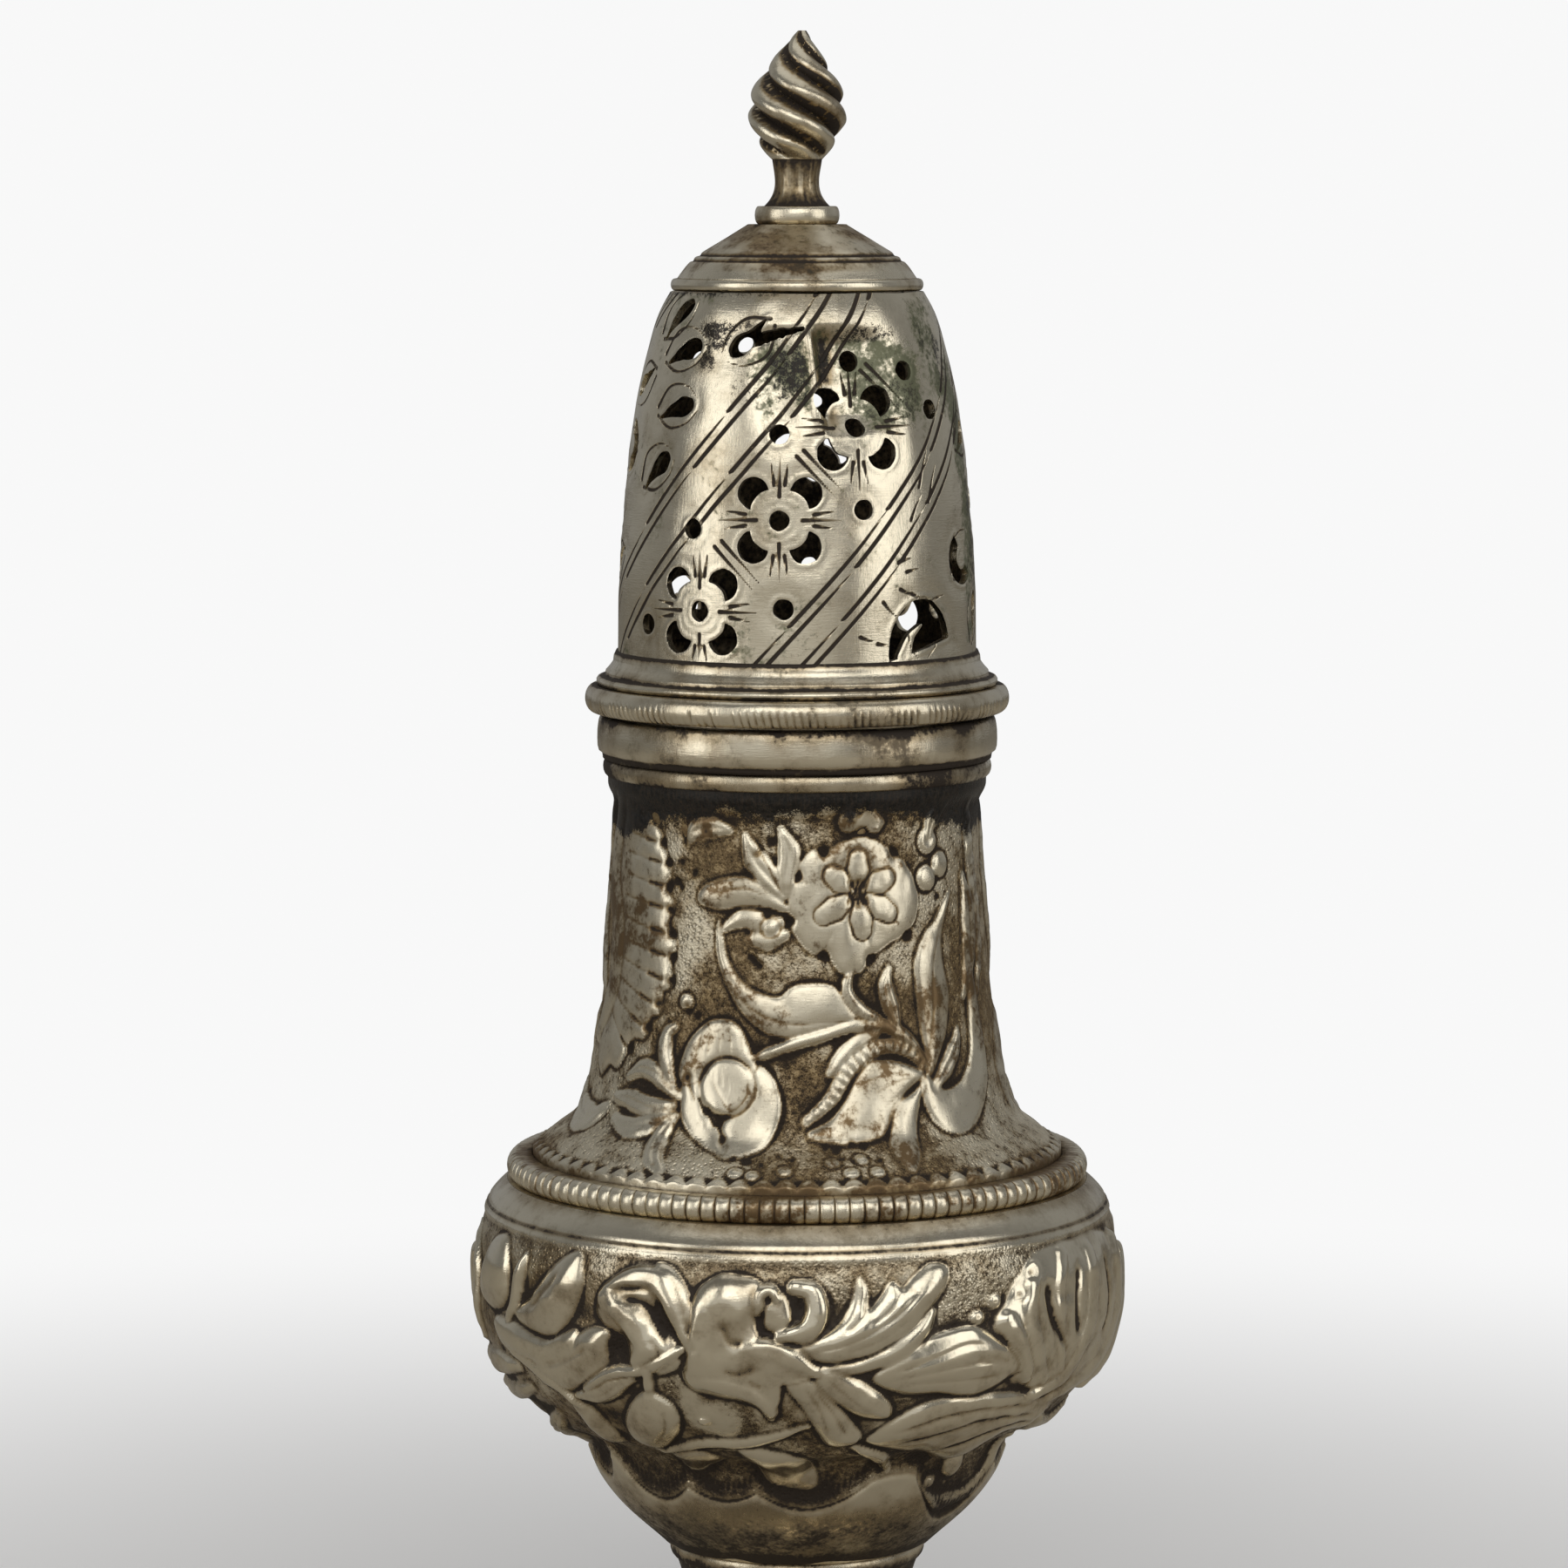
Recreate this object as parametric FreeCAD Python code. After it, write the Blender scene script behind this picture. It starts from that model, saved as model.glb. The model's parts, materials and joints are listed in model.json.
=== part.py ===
"""Sugar caster of chased silver sheet: a pedestal body and a pierced pull-off cover.

Millimetres, +Z up. The origin is the middle of the ring that the foot stands on.
The front of the caster looks along -Y. Every piece is a separate solid, soldered or
fitted to its neighbours face to face, and only the cover's group moves, straight up.
"""
import FreeCAD, Part
import math
import os

Vec = FreeCAD.Vector
Z_AXIS = Vec(0, 0, 1)
ORIGIN = Vec(0, 0, 0)

# Silver sheet and cutting
sheet = 0.70                 # gauge of the raised walls
overrun = 1.0                # every cutting tool passes its surface by this much

# Foot
foot_diameter = 41.0         # over the rim wire
foot_rise = 17.4             # standing face to the top of the pedestal
foot_wire = 1.6              # height of the rim wire
foot_wire_width = 1.5        # width of the rim wire, measured inwards
stem_diameter = 19.0         # waist of the pedestal
stem_top_diameter = 20.7     # where the pedestal meets its collar
collar_proud = 0.50          # how far the collar stands out of the pedestal
collar_rise = 1.5

# Bowl
bowl_diameter = 56.0         # at the widest chasing
bowl_rise = 31.0             # underside to the top of the shoulder
bowl_seat_diameter = 23.0    # flat underside that stands on the collar
shoulder_diameter = 49.1     # outer edge of the flat shoulder, under the girdle wire
shoulder_width = 3.6         # flat shoulder, from its outer edge to the opening

# Girdle wire, laid on the shoulder round the neck's foot
girdle_wire = 2.1

# Neck
foot_edge_rise = 0.70        # upright edge of the neck's foot above the girdle wire
neck_rise = 39.2             # shoulder to the lip
neck_diameter = 31.8         # outside, at the lip
lip_reed_rise = 1.5
lip_reed_proud = 0.45        # how far the reed stands out of the neck
lip_band_rise = 3.6
lip_band_proud = 0.95

# Cover
seat_gap = 0.30              # lip to the cover's edge wire, at rest
sleeve_reach = 8.2           # how deep the sleeve goes below the lip
sleeve_gauge = 0.55
sleeve_clearance = 0.06      # on the radius, sleeve in neck
edge_wire_rise = 2.2
edge_wire_proud = 1.95       # how far the edge wire stands out of the neck
moulding_rise = 2.9
bead_out_share = 0.62        # moulding's bead, from the dome's wall out to the edge wire
cove_out_share = 0.34        # moulding's cove, the same
dome_rise = 30.0
cap_diameter = 21.1          # over the cap's rim wire
cap_wire = 1.0
cap_rise = 4.5               # top of the rim wire to the cap's flat
cap_flat_diameter = 8.2

# Finial
finial_collar_diameter = 7.1
finial_collar_rise = 1.5
finial_rise = 14.5           # top of its collar to the tip
flame_diameter = 8.5
spool_diameter = 4.1
tip_diameter = 0.7
peg_diameter = 2.2
rivet_diameter = 4.2
rivet_rise = 0.6
flame_ridges = 5
flame_turn = -360.0          # degrees from the flame's foot to its tip
flame_levels = 18            # steps up the flame

# Piercing of the dome
dome_twist = 106.0           # degrees that the panels lean over the dome's height
dome_front = 6.0             # degrees, middle of the front flower panel at mid height
panel_repeat = 2
drill_diameter = 1.70        # round holes
petal_diameter = 2.70
petal_reach = 3.10           # flower's middle to a petal's middle
petal_bite_diameter = 3.60   # round tongue that makes the petal a kidney
petal_bite_reach = 0.90
comma_length = 3.60
comma_width = 1.50
crescent_diameter = 4.00
crescent_width = 1.15

# Radii and heights that follow
foot_radius = foot_diameter / 2
stem_radius = stem_diameter / 2
stem_top_radius = stem_top_diameter / 2
bowl_radius = bowl_diameter / 2
bowl_seat_radius = bowl_seat_diameter / 2
shoulder_radius = shoulder_diameter / 2
neck_foot_radius = shoulder_radius - girdle_wire
neck_radius = neck_diameter / 2
neck_bore_radius = neck_radius - sheet
sleeve_radius = neck_bore_radius - sleeve_clearance
sleeve_bore_radius = sleeve_radius - sleeve_gauge
dome_radius = neck_bore_radius
cap_radius = cap_diameter / 2
cap_seat_radius = cap_radius - cap_wire / 2
dome_top_radius = cap_radius + sheet / 4
cap_flat_radius = cap_flat_diameter / 2
peg_radius = peg_diameter / 2

z_collar = foot_rise
z_bowl = z_collar + collar_rise
z_shoulder = z_bowl + bowl_rise
z_lip = z_shoulder + neck_rise
z_band = z_lip - lip_band_rise
z_reed = z_band - lip_reed_rise
z_edge = z_lip + seat_gap
z_moulding = z_edge + edge_wire_rise
z_dome = z_moulding + moulding_rise
z_cap_wire = z_dome + dome_rise
z_cap = z_cap_wire + cap_wire
z_cap_flat = z_cap + cap_rise
z_finial = z_cap_flat + finial_collar_rise
z_tip = z_finial + finial_rise

# Outlines: (share from the narrow radius to the wide one, share of the height)
foot_shares = (
    (1.000, 0.00), (1.000, 0.09), (0.880, 0.19), (0.640, 0.26), (0.370, 0.34),
    (0.165, 0.46), (0.030, 0.62), (0.000, 0.76), (0.035, 0.90), (0.060, 1.00),
)
bowl_shares = (
    (0.000, 0.000), (0.045, 0.022), (0.240, 0.119), (0.375, 0.232), (0.450, 0.297),
    (0.640, 0.342), (0.765, 0.398), (0.872, 0.468), (0.972, 0.595), (1.000, 0.680),
    (0.972, 0.800), (0.935, 0.885), (0.880, 0.952), (0.790, 1.000),
)
neck_shares = (
    (0.985, 0.00), (0.750, 0.06), (0.510, 0.11), (0.345, 0.21), (0.210, 0.38),
    (0.135, 0.55), (0.080, 0.72), (0.030, 0.88), (0.000, 1.00),
)
dome_shares = (
    (1.000, 0.000), (0.989, 0.113), (0.966, 0.237), (0.891, 0.373), (0.823, 0.500),
    (0.723, 0.623), (0.589, 0.727), (0.386, 0.847), (0.180, 0.950), (0.000, 1.000),
)
cap_shares = ((1.000, 0.00), (0.800, 0.33), (0.550, 0.56), (0.300, 0.76), (0.000, 1.00))
flame_shares = (
    (0.50, 0.00), (0.62, 0.05), (0.81, 0.14), (0.92, 0.24), (1.00, 0.36), (0.96, 0.48),
    (0.79, 0.61), (0.53, 0.75), (0.26, 0.88), (0.09, 0.96), (0.00, 1.00),
)
spool_share = 0.276          # part of the finial's height that the spool takes
groove_depth_share = 0.26    # depth of the flame's grooves, of its radius
groove_foot_share = 0.20     # part of that depth left at the flame's foot

# Piercing places: (share of the dome's height, degrees from the panel's middle line)
flower_shares = ((0.138, 0), (0.389, 0), (0.640, 0))
drill_shares = (
    (0.093, -18), (0.361, -27), (0.622, -25), (0.825, -19),
    (0.148, 27), (0.416, 25), (0.682, 29), (0.791, 7),
)
# Scroll panel: the same, with the way the shape points, in degrees from level
comma_shares = (
    (0.100, 24, 70), (0.255, 27, 200), (0.215, -31, 20), (0.395, -25, 215),
    (0.502, 28, 235), (0.600, -29, 20), (0.701, 15, 35), (0.755, -17, 200),
    (0.838, -1, 35), (0.930, -19, 45), (0.880, 25, 215),
)
crescent_shares = ((0.089, -7, 270), (0.270, -5, 40), (0.425, 4, 0), (0.575, -4, 180))
comma_outline_shares = (     # share of its length, share of its width
    (-0.50, -0.34), (-0.10, 0.22), (0.22, 0.50), (0.46, 0.30), (0.46, -0.16),
    (0.24, -0.44), (-0.06, -0.34),
)


def spline(points):
    """A smooth curve in the XZ plane through points given as (radius, height)."""
    curve = Part.BSplineCurve()
    curve.interpolate([Vec(radius, 0, height) for radius, height in points])
    return curve


def outline(shares, narrow, wide, base, rise):
    """Real (radius, height) points of an outline table."""
    return [(narrow + (wide - narrow) * out, base + rise * up) for out, up in shares]


def inside_of(points, gauge):
    """The points moved inwards by the gauge, square to the curve and level at its ends."""
    curve = spline(points)
    moved = []
    for radius, height in points:
        at = curve.parameter(Vec(radius, 0, height))
        tangent = curve.tangent(at)[0]
        is_end = height in (points[0][1], points[-1][1])
        if is_end:
            moved.append((radius - gauge / max(abs(tangent.z), 0.6), height))
        else:
            moved.append((radius - gauge * tangent.z, height + gauge * tangent.x))
    return moved


def line(start, end):
    """A straight edge in the XZ plane between two (radius, height) points."""
    return Part.LineSegment(Vec(start[0], 0, start[1]), Vec(end[0], 0, end[1])).toShape()


def turned(edges):
    """The solid of a closed outline turned round the axis."""
    face = Part.Face(Part.Wire(Part.__sortEdges__(edges)))
    solid = face.revolve(ORIGIN, Z_AXIS, 360)
    if solid.Volume < 0:
        solid.reverse()
    return solid


def turned_points(points):
    """The same for an outline of straight edges, given as (radius, height)."""
    corners = list(points) + [points[0]]
    return turned([line(one, two) for one, two in zip(corners, corners[1:])])


def turned_sheet(points, gauge, below=0, above=0):
    """A wall of even gauge whose outside follows the points, open at both ends.

    It can go on as a straight tube below its first point and above its last one.
    """
    inner = inside_of(points, gauge)
    edges = [spline(points).toShape(), spline(inner).toShape()]
    ends = []
    for place, reach in ((0, -below), (-1, above)):
        outer_end = (points[place][0], points[place][1] + reach)
        inner_end = (inner[place][0], inner[place][1] + reach)
        if reach:
            edges.append(line(points[place], outer_end))
            edges.append(line(inner[place], inner_end))
        ends.append((outer_end, inner_end))
    edges.extend(line(outer_end, inner_end) for outer_end, inner_end in ends)
    return turned(edges)


def ring(bore, radius, base, rise, bulge):
    """A ring whose outer face is a round moulding that stands out by the bulge."""
    edge = radius - bulge
    arc = Part.Arc(Vec(edge, 0, base), Vec(radius, 0, base + rise / 2), Vec(edge, 0, base + rise))
    edges = [arc.toShape(), line((edge, base), (bore, base))]
    edges.append(line((bore, base), (bore, base + rise)))
    edges.append(line((bore, base + rise), (edge, base + rise)))
    return turned(edges)


def make_foot_rim_wire():
    return ring(foot_radius - foot_wire_width, foot_radius, 0, foot_wire, foot_wire / 3)


def foot_points():
    wide = foot_radius - foot_wire / 3
    return outline(foot_shares, stem_radius, wide, foot_wire, foot_rise - foot_wire)


def make_foot():
    """Raised pedestal: a spreading foot, a waist and a small flare under the collar."""
    points = foot_points()
    points[-1] = (stem_top_radius, z_collar)
    return turned_sheet(points, sheet)


def make_foot_collar():
    bore = stem_top_radius - sheet
    return ring(bore, stem_top_radius + collar_proud, z_collar, collar_rise, collar_rise / 4)


def bowl_points():
    points = outline(bowl_shares, bowl_seat_radius, bowl_radius, z_bowl, bowl_rise)
    points[-1] = (shoulder_radius, z_shoulder)
    return points


def make_bowl():
    """Raised bowl with its floor, turned in at the top as a flat shoulder."""
    points = bowl_points()
    opening = shoulder_radius - shoulder_width
    inner = inside_of(points, sheet)[1:-1]
    floor_z = z_bowl + sheet
    flange_z = z_shoulder - sheet
    inner = [(inner[0][0], floor_z)] + inner[1:] + [(shoulder_radius - sheet, flange_z)]
    inner = [inner[0]] + [one for one in inner[1:-1] if floor_z < one[1] < flange_z - sheet] + [inner[-1]]
    edges = [spline(points).toShape(), spline(inner).toShape()]
    edges.append(line((0, z_bowl), points[0]))
    edges.append(line((0, z_bowl), (0, floor_z)))
    edges.append(line((0, floor_z), inner[0]))
    edges.append(line(points[-1], (opening, z_shoulder)))
    edges.append(line((opening, z_shoulder), (opening, flange_z)))
    edges.append(line((opening, flange_z), inner[-1]))
    return turned(edges)


def make_girdle_wire():
    return ring(neck_foot_radius, shoulder_radius, z_shoulder, girdle_wire, girdle_wire / 3)


def make_neck():
    """Upper body: an upright foot inside the girdle wire, a waist and a straight lip."""
    upright = girdle_wire + foot_edge_rise
    straight = sleeve_reach + sheet
    points = outline(neck_shares, neck_radius, neck_foot_radius, z_shoulder + upright,
                     neck_rise - upright - straight)
    points[0] = (neck_foot_radius, points[0][1])
    return turned_sheet(points, sheet, upright, straight)


def make_lip_reed():
    radius = neck_radius + lip_reed_proud
    return ring(neck_radius, radius, z_reed, lip_reed_rise, lip_reed_proud * 2 / 3)


def make_lip_band():
    """Flat band round the lip, with its corners broken and a groove under it."""
    radius = neck_radius + lip_band_proud
    corner = lip_band_proud / 4
    groove = lip_band_rise / 8
    return turned_points((
        (neck_radius, z_band), (radius - corner * 2, z_band), (radius - corner * 2, z_band + groove),
        (radius, z_band + groove * 2), (radius, z_lip - corner), (radius - corner, z_lip),
        (neck_radius, z_lip),
    ))


def make_cover_sleeve():
    """Thin sleeve that plugs the neck, with a lead-in at its lower edge."""
    low = z_lip - sleeve_reach
    lead = sleeve_gauge / 2
    return turned_points((
        (sleeve_bore_radius, low), (sleeve_radius - lead, low), (sleeve_radius, low + lead),
        (sleeve_radius, z_moulding), (sleeve_bore_radius, z_moulding),
    ))


def make_cover_edge_wire():
    radius = neck_radius + edge_wire_proud
    return ring(sleeve_radius, radius, z_edge, edge_wire_rise, edge_wire_rise / 3)


def make_cover_moulding():
    """Stepped ring: a bead over the edge wire, a groove and a cove up to the dome."""
    radius = neck_radius + edge_wire_proud
    step = moulding_rise / 7
    bead = dome_radius + (radius - dome_radius) * bead_out_share
    cove = dome_radius + (radius - dome_radius) * cove_out_share
    return turned_points((
        (dome_radius - sheet, z_moulding), (bead - step / 2, z_moulding), (bead, z_moulding + step / 2),
        (bead, z_moulding + step), (bead - step / 2, z_moulding + step * 1.5),
        (cove, z_moulding + step * 2), (cove, z_moulding + step * 3),
        (dome_radius + step / 2, z_moulding + step * 5), (dome_radius + step / 2, z_dome - step / 2),
        (dome_radius, z_dome), (dome_radius - sheet, z_dome),
    ))


def dome_points():
    return outline(dome_shares, dome_top_radius, dome_radius, z_dome, dome_rise)


def dome_place(up, degrees):
    """A point on the dome at a share of its height, with its outward, right and up directions."""
    curve = spline(dome_points())
    height = z_dome + dome_rise * up
    low, high = curve.FirstParameter, curve.LastParameter
    for halving in range(24):
        middle = (low + high) / 2
        if curve.value(middle).z < height:
            low = middle
        else:
            high = middle
    point = curve.value(low)
    slope = curve.tangent(low)[0]
    lean = dome_twist * (up - 0.5)
    angle = math.radians(dome_front + lean + degrees - 90)
    outward = Vec(math.cos(angle), math.sin(angle), 0)
    right = Vec(-math.sin(angle), math.cos(angle), 0)
    rising = outward * slope.x + Z_AXIS * slope.z
    place = outward * point.x + Z_AXIS * point.z
    return place, right.cross(rising), right, rising


def punch(place, normal, right, rising, make_edges):
    """A cutting prism through the wall; the edges are made from flat (right, up) places."""
    def at(across, up):
        return place + right * across + rising * up - normal * (sheet + overrun)
    face = Part.Face(Part.Wire(make_edges(at)))
    return face.extrude(normal * (sheet + overrun * 2))


def round_hole(diameter):
    radius = diameter / 2

    def edges(at):
        one = Part.Arc(at(radius, 0), at(0, radius), at(-radius, 0)).toShape()
        two = Part.Arc(at(-radius, 0), at(0, -radius), at(radius, 0)).toShape()
        return [one, two]
    return edges


def petal_hole(degrees):
    """A disc with a round tongue in its inner side, at one side of a flower."""
    turn = math.radians(degrees)
    radius = petal_diameter / 2
    bite = petal_bite_diameter / 2
    apart = petal_reach - petal_bite_reach
    from_bite = (apart * apart + bite * bite - radius * radius) / (2 * apart)
    half = math.sqrt(max(bite * bite - from_bite * from_bite, 0))

    def edges(at):
        def turned_at(along, across):
            return at(along * math.cos(turn) - across * math.sin(turn),
                      along * math.sin(turn) + across * math.cos(turn))
        one = turned_at(petal_bite_reach + from_bite, half)
        two = turned_at(petal_bite_reach + from_bite, -half)
        outer = Part.Arc(one, turned_at(petal_reach + radius, 0), two).toShape()
        inner = Part.Arc(two, turned_at(petal_bite_reach + bite, 0), one).toShape()
        return [outer, inner]
    return edges


def comma_hole(degrees):
    """A drop with a thin bent tail."""
    turn = math.radians(degrees)

    def edges(at):
        points = []
        for along_share, across_share in comma_outline_shares:
            along = along_share * comma_length
            across = across_share * comma_width
            points.append(at(along * math.cos(turn) - across * math.sin(turn),
                             along * math.sin(turn) + across * math.cos(turn)))
        curve = Part.BSplineCurve()
        curve.interpolate(points[1:])
        tail_in = Part.LineSegment(points[0], points[1]).toShape()
        tail_out = Part.LineSegment(points[-1], points[0]).toShape()
        return [tail_in, curve.toShape(), tail_out]
    return edges


def crescent_hole(degrees):
    """A half ring with straight ends, open towards the given way."""
    outer = crescent_diameter / 2
    inner = outer - crescent_width

    def edges(at):
        def polar(radius, way):
            turn = math.radians(degrees + way)
            return at(radius * math.cos(turn), radius * math.sin(turn))
        one = Part.Arc(polar(outer, 80), polar(outer, 180), polar(outer, 280)).toShape()
        two = Part.Arc(polar(inner, 280), polar(inner, 180), polar(inner, 80)).toShape()
        ends = [Part.LineSegment(polar(outer, way), polar(inner, way)).toShape() for way in (280, 80)]
        return [one, ends[0], two, ends[1]]
    return edges


def piercings():
    """All cutting tools of one repeat: a flower panel and, a quarter turn on, a scroll panel."""
    tools = []
    for up, degrees in flower_shares:
        place = dome_place(up, degrees)
        tools.append(punch(*place, round_hole(drill_diameter)))
        tools.extend(punch(*place, petal_hole(way)) for way in (45, 135, 225, 315))
    for up, degrees in drill_shares:
        tools.append(punch(*dome_place(up, degrees), round_hole(drill_diameter)))
    next_panel = 180 / panel_repeat
    for up, degrees, way in comma_shares:
        tools.append(punch(*dome_place(up, degrees + next_panel), comma_hole(way)))
    for up, degrees, way in crescent_shares:
        tools.append(punch(*dome_place(up, degrees + next_panel), crescent_hole(way)))
    return tools


def make_pierced_dome():
    """Domed wall pierced in leaning panels, flowers and scrolls by turns."""
    wall = turned_sheet(dome_points(), sheet)
    tools = []
    for repeat in range(panel_repeat):
        for tool in piercings():
            turned_tool = tool.copy()
            turned_tool.rotate(ORIGIN, Z_AXIS, 360 / panel_repeat * repeat)
            tools.append(turned_tool)
    return wall.cut(Part.makeCompound(tools)).Solids[0]


def make_cap_rim_wire():
    bore = cap_seat_radius - sheet - cap_wire / 4
    return ring(bore, cap_radius, z_cap_wire, cap_wire, cap_wire / 3)


def make_dome_cap():
    """Low cap that closes the dome, bored on its flat for the finial's peg."""
    points = outline(cap_shares, cap_flat_radius, cap_seat_radius, z_cap, cap_rise)
    inner = inside_of(points, sheet)[:-1]
    under = z_cap_flat - sheet
    inner = [one for one in inner if one[1] < under - sheet] + [(cap_flat_radius - sheet, under)]
    edges = [spline(points).toShape(), spline(inner).toShape(), line(points[0], inner[0])]
    edges.append(line(points[-1], (peg_radius, z_cap_flat)))
    edges.append(line((peg_radius, z_cap_flat), (peg_radius, under)))
    edges.append(line((peg_radius, under), inner[-1]))
    return turned(edges)


def make_finial_collar():
    radius = finial_collar_diameter / 2
    return ring(peg_radius, radius, z_cap_flat, finial_collar_rise, finial_collar_rise / 3)


def ridge_row(radius, height, turn, depth):
    """Points across one ridge of the flame at one level, from groove to groove."""
    points = []
    for across in (-1, -0.5, 0, 0.5, 1):
        reach = radius * (1 - depth * across * across)
        way = math.radians(turn + across * 180 / flame_ridges)
        points.append(Vec(reach * math.cos(way), reach * math.sin(way), height))
    return points


def make_flame(base, rise):
    """The twisted flame: one rounded ridge repeated round the axis, closed level at both ends."""
    profile = spline(outline(flame_shares, tip_diameter / 2, flame_diameter / 2, base, rise))
    first, last = profile.FirstParameter, profile.LastParameter
    rows = []
    for level in range(flame_levels + 1):
        at = profile.value(first + (last - first) * level / flame_levels)
        up = (at.z - base) / rise
        depth = groove_depth_share * min(1, groove_foot_share + up * 4)
        rows.append(ridge_row(at.x, at.z, flame_turn * up, depth))
    surface = Part.BSplineSurface()
    surface.interpolate(rows)
    ridge = surface.toShape()
    sides = []
    for number in range(flame_ridges):
        side = ridge.copy()
        side.rotate(ORIGIN, Z_AXIS, 360 / flame_ridges * number)
        sides.append(side)
    ends = []
    for height in (base, base + rise):
        rims = [edge for side in sides for edge in side.Edges
                if max(abs(vertex.Z - height) for vertex in edge.Vertexes) < rise / flame_levels / 4]
        ends.append(Part.Face(Part.Wire(Part.__sortEdges__(rims))))
    shell = Part.makeShell(sides + ends)
    shell.sewShape()
    solid = Part.makeSolid(shell)
    if solid.Volume < 0:
        solid.reverse()
    return solid


def make_finial():
    """Cast flame with twisted ridges on a spool, with its peg riveted under the cap."""
    z_flame = z_finial + finial_rise * spool_share
    flame = make_flame(z_flame, z_tip - z_flame)
    spool = spool_diameter / 2
    foot = spool * 1.15
    flame_foot = tip_diameter / 2 + (flame_diameter - tip_diameter) / 2 * flame_shares[0][0]
    top = flame_foot * (1 - groove_depth_share * groove_foot_share * 1.5)
    hollow = Part.Arc(Vec(foot, 0, z_finial), Vec(spool, 0, (z_finial + z_flame) / 2), Vec(top, 0, z_flame))
    under = z_cap_flat - sheet
    low = under - rivet_rise
    rivet = rivet_diameter / 2
    corners = (
        (top, z_flame), (0, z_flame), (0, low), (rivet, low), (rivet, under),
        (peg_radius, under), (peg_radius, z_finial), (foot, z_finial),
    )
    edges = [line(one, two) for one, two in zip(corners, corners[1:])]
    stem = turned(edges + [hollow.toShape()])
    return stem.fuse(flame).removeSplitter()


PIECES = {
    "foot_rim_wire": make_foot_rim_wire,
    "foot": make_foot,
    "foot_collar": make_foot_collar,
    "bowl": make_bowl,
    "girdle_wire": make_girdle_wire,
    "neck": make_neck,
    "lip_reed": make_lip_reed,
    "lip_band": make_lip_band,
    "cover_sleeve": make_cover_sleeve,
    "cover_edge_wire": make_cover_edge_wire,
    "cover_moulding": make_cover_moulding,
    "pierced_dome": make_pierced_dome,
    "cap_rim_wire": make_cap_rim_wire,
    "dome_cap": make_dome_cap,
    "finial_collar": make_finial_collar,
    "finial": make_finial,
}


def main():
    os.makedirs("parts", exist_ok=True)
    for name, make in PIECES.items():
        shape = make()
        shape.exportStep(f"parts/{name}.step")
        box = shape.BoundBox
        print(f"{name}: solids {len(shape.Solids)}, valid {shape.isValid()}, volume {shape.Volume:.1f}, "
              f"z {box.ZMin:.2f} to {box.ZMax:.2f}, width {box.XLength:.2f}")


main()
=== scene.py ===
"""Looks of a chased silver sugar caster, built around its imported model.

Lengths in the shape code are millimetres and angles are degrees, with 0 at the front
and + to the right; a mesh is written in metres. A wall is described by its outline,
a curve of (radius, height), and by how far the metal stands out of that outline.
"""
import bpy
import numpy as np
import json
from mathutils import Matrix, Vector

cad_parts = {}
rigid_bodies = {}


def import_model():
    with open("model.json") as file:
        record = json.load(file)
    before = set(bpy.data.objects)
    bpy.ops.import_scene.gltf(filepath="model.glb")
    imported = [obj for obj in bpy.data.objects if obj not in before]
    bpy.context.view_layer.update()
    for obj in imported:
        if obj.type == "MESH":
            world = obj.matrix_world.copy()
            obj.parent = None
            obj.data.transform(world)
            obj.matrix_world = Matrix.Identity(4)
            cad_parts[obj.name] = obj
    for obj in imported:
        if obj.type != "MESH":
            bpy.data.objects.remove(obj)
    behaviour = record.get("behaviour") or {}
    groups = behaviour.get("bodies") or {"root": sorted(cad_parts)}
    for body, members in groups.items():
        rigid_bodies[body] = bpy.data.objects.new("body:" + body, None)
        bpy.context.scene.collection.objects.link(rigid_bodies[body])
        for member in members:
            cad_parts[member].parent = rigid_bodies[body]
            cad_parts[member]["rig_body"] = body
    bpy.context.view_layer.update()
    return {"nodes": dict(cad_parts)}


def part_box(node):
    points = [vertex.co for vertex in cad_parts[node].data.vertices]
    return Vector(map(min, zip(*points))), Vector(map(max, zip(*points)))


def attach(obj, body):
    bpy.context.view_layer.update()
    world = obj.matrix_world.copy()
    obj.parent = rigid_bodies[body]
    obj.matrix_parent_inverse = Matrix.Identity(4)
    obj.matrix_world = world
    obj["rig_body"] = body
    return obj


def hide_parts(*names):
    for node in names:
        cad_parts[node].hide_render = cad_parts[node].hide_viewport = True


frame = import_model()

bl_info = {
    "name": "Sugar caster dressing",
    "version": (1, 0, 0),
    "blender": (4, 5, 0),
    "location": "3D View > Sidebar > Caster",
    "description": "Chased and pierced silver surfaces for a two-part sugar caster",
    "category": "Add Mesh",
}

MM = 0.001
HALF_TURN = 180.0
HALVES = (("front", 0.0), ("back", HALF_TURN))
COARSE = 8


# Heights of the model's pieces, in millimetres

def low_of(node):
    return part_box(node)[0][2] / MM


def high_of(node):
    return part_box(node)[1][2] / MM


def radius_of(node):
    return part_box(node)[1][0] / MM


Z_STEM = low_of("foot_collar")
Z_BOWL = low_of("bowl")
Z_SHOULDER = low_of("girdle_wire")
Z_GIRDLE_TOP = high_of("girdle_wire")
Z_REED = low_of("lip_reed")
Z_BAND = low_of("lip_band")
Z_LIP = high_of("lip_band")
Z_EDGE = low_of("cover_edge_wire")
Z_MOULDING = low_of("cover_moulding")
Z_DOME = low_of("pierced_dome")
Z_CAP_WIRE = low_of("cap_rim_wire")
Z_CAP = low_of("dome_cap")
Z_COLLAR = low_of("finial_collar")
Z_FINIAL = high_of("finial_collar")
Z_TIP = high_of("finial")

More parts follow.
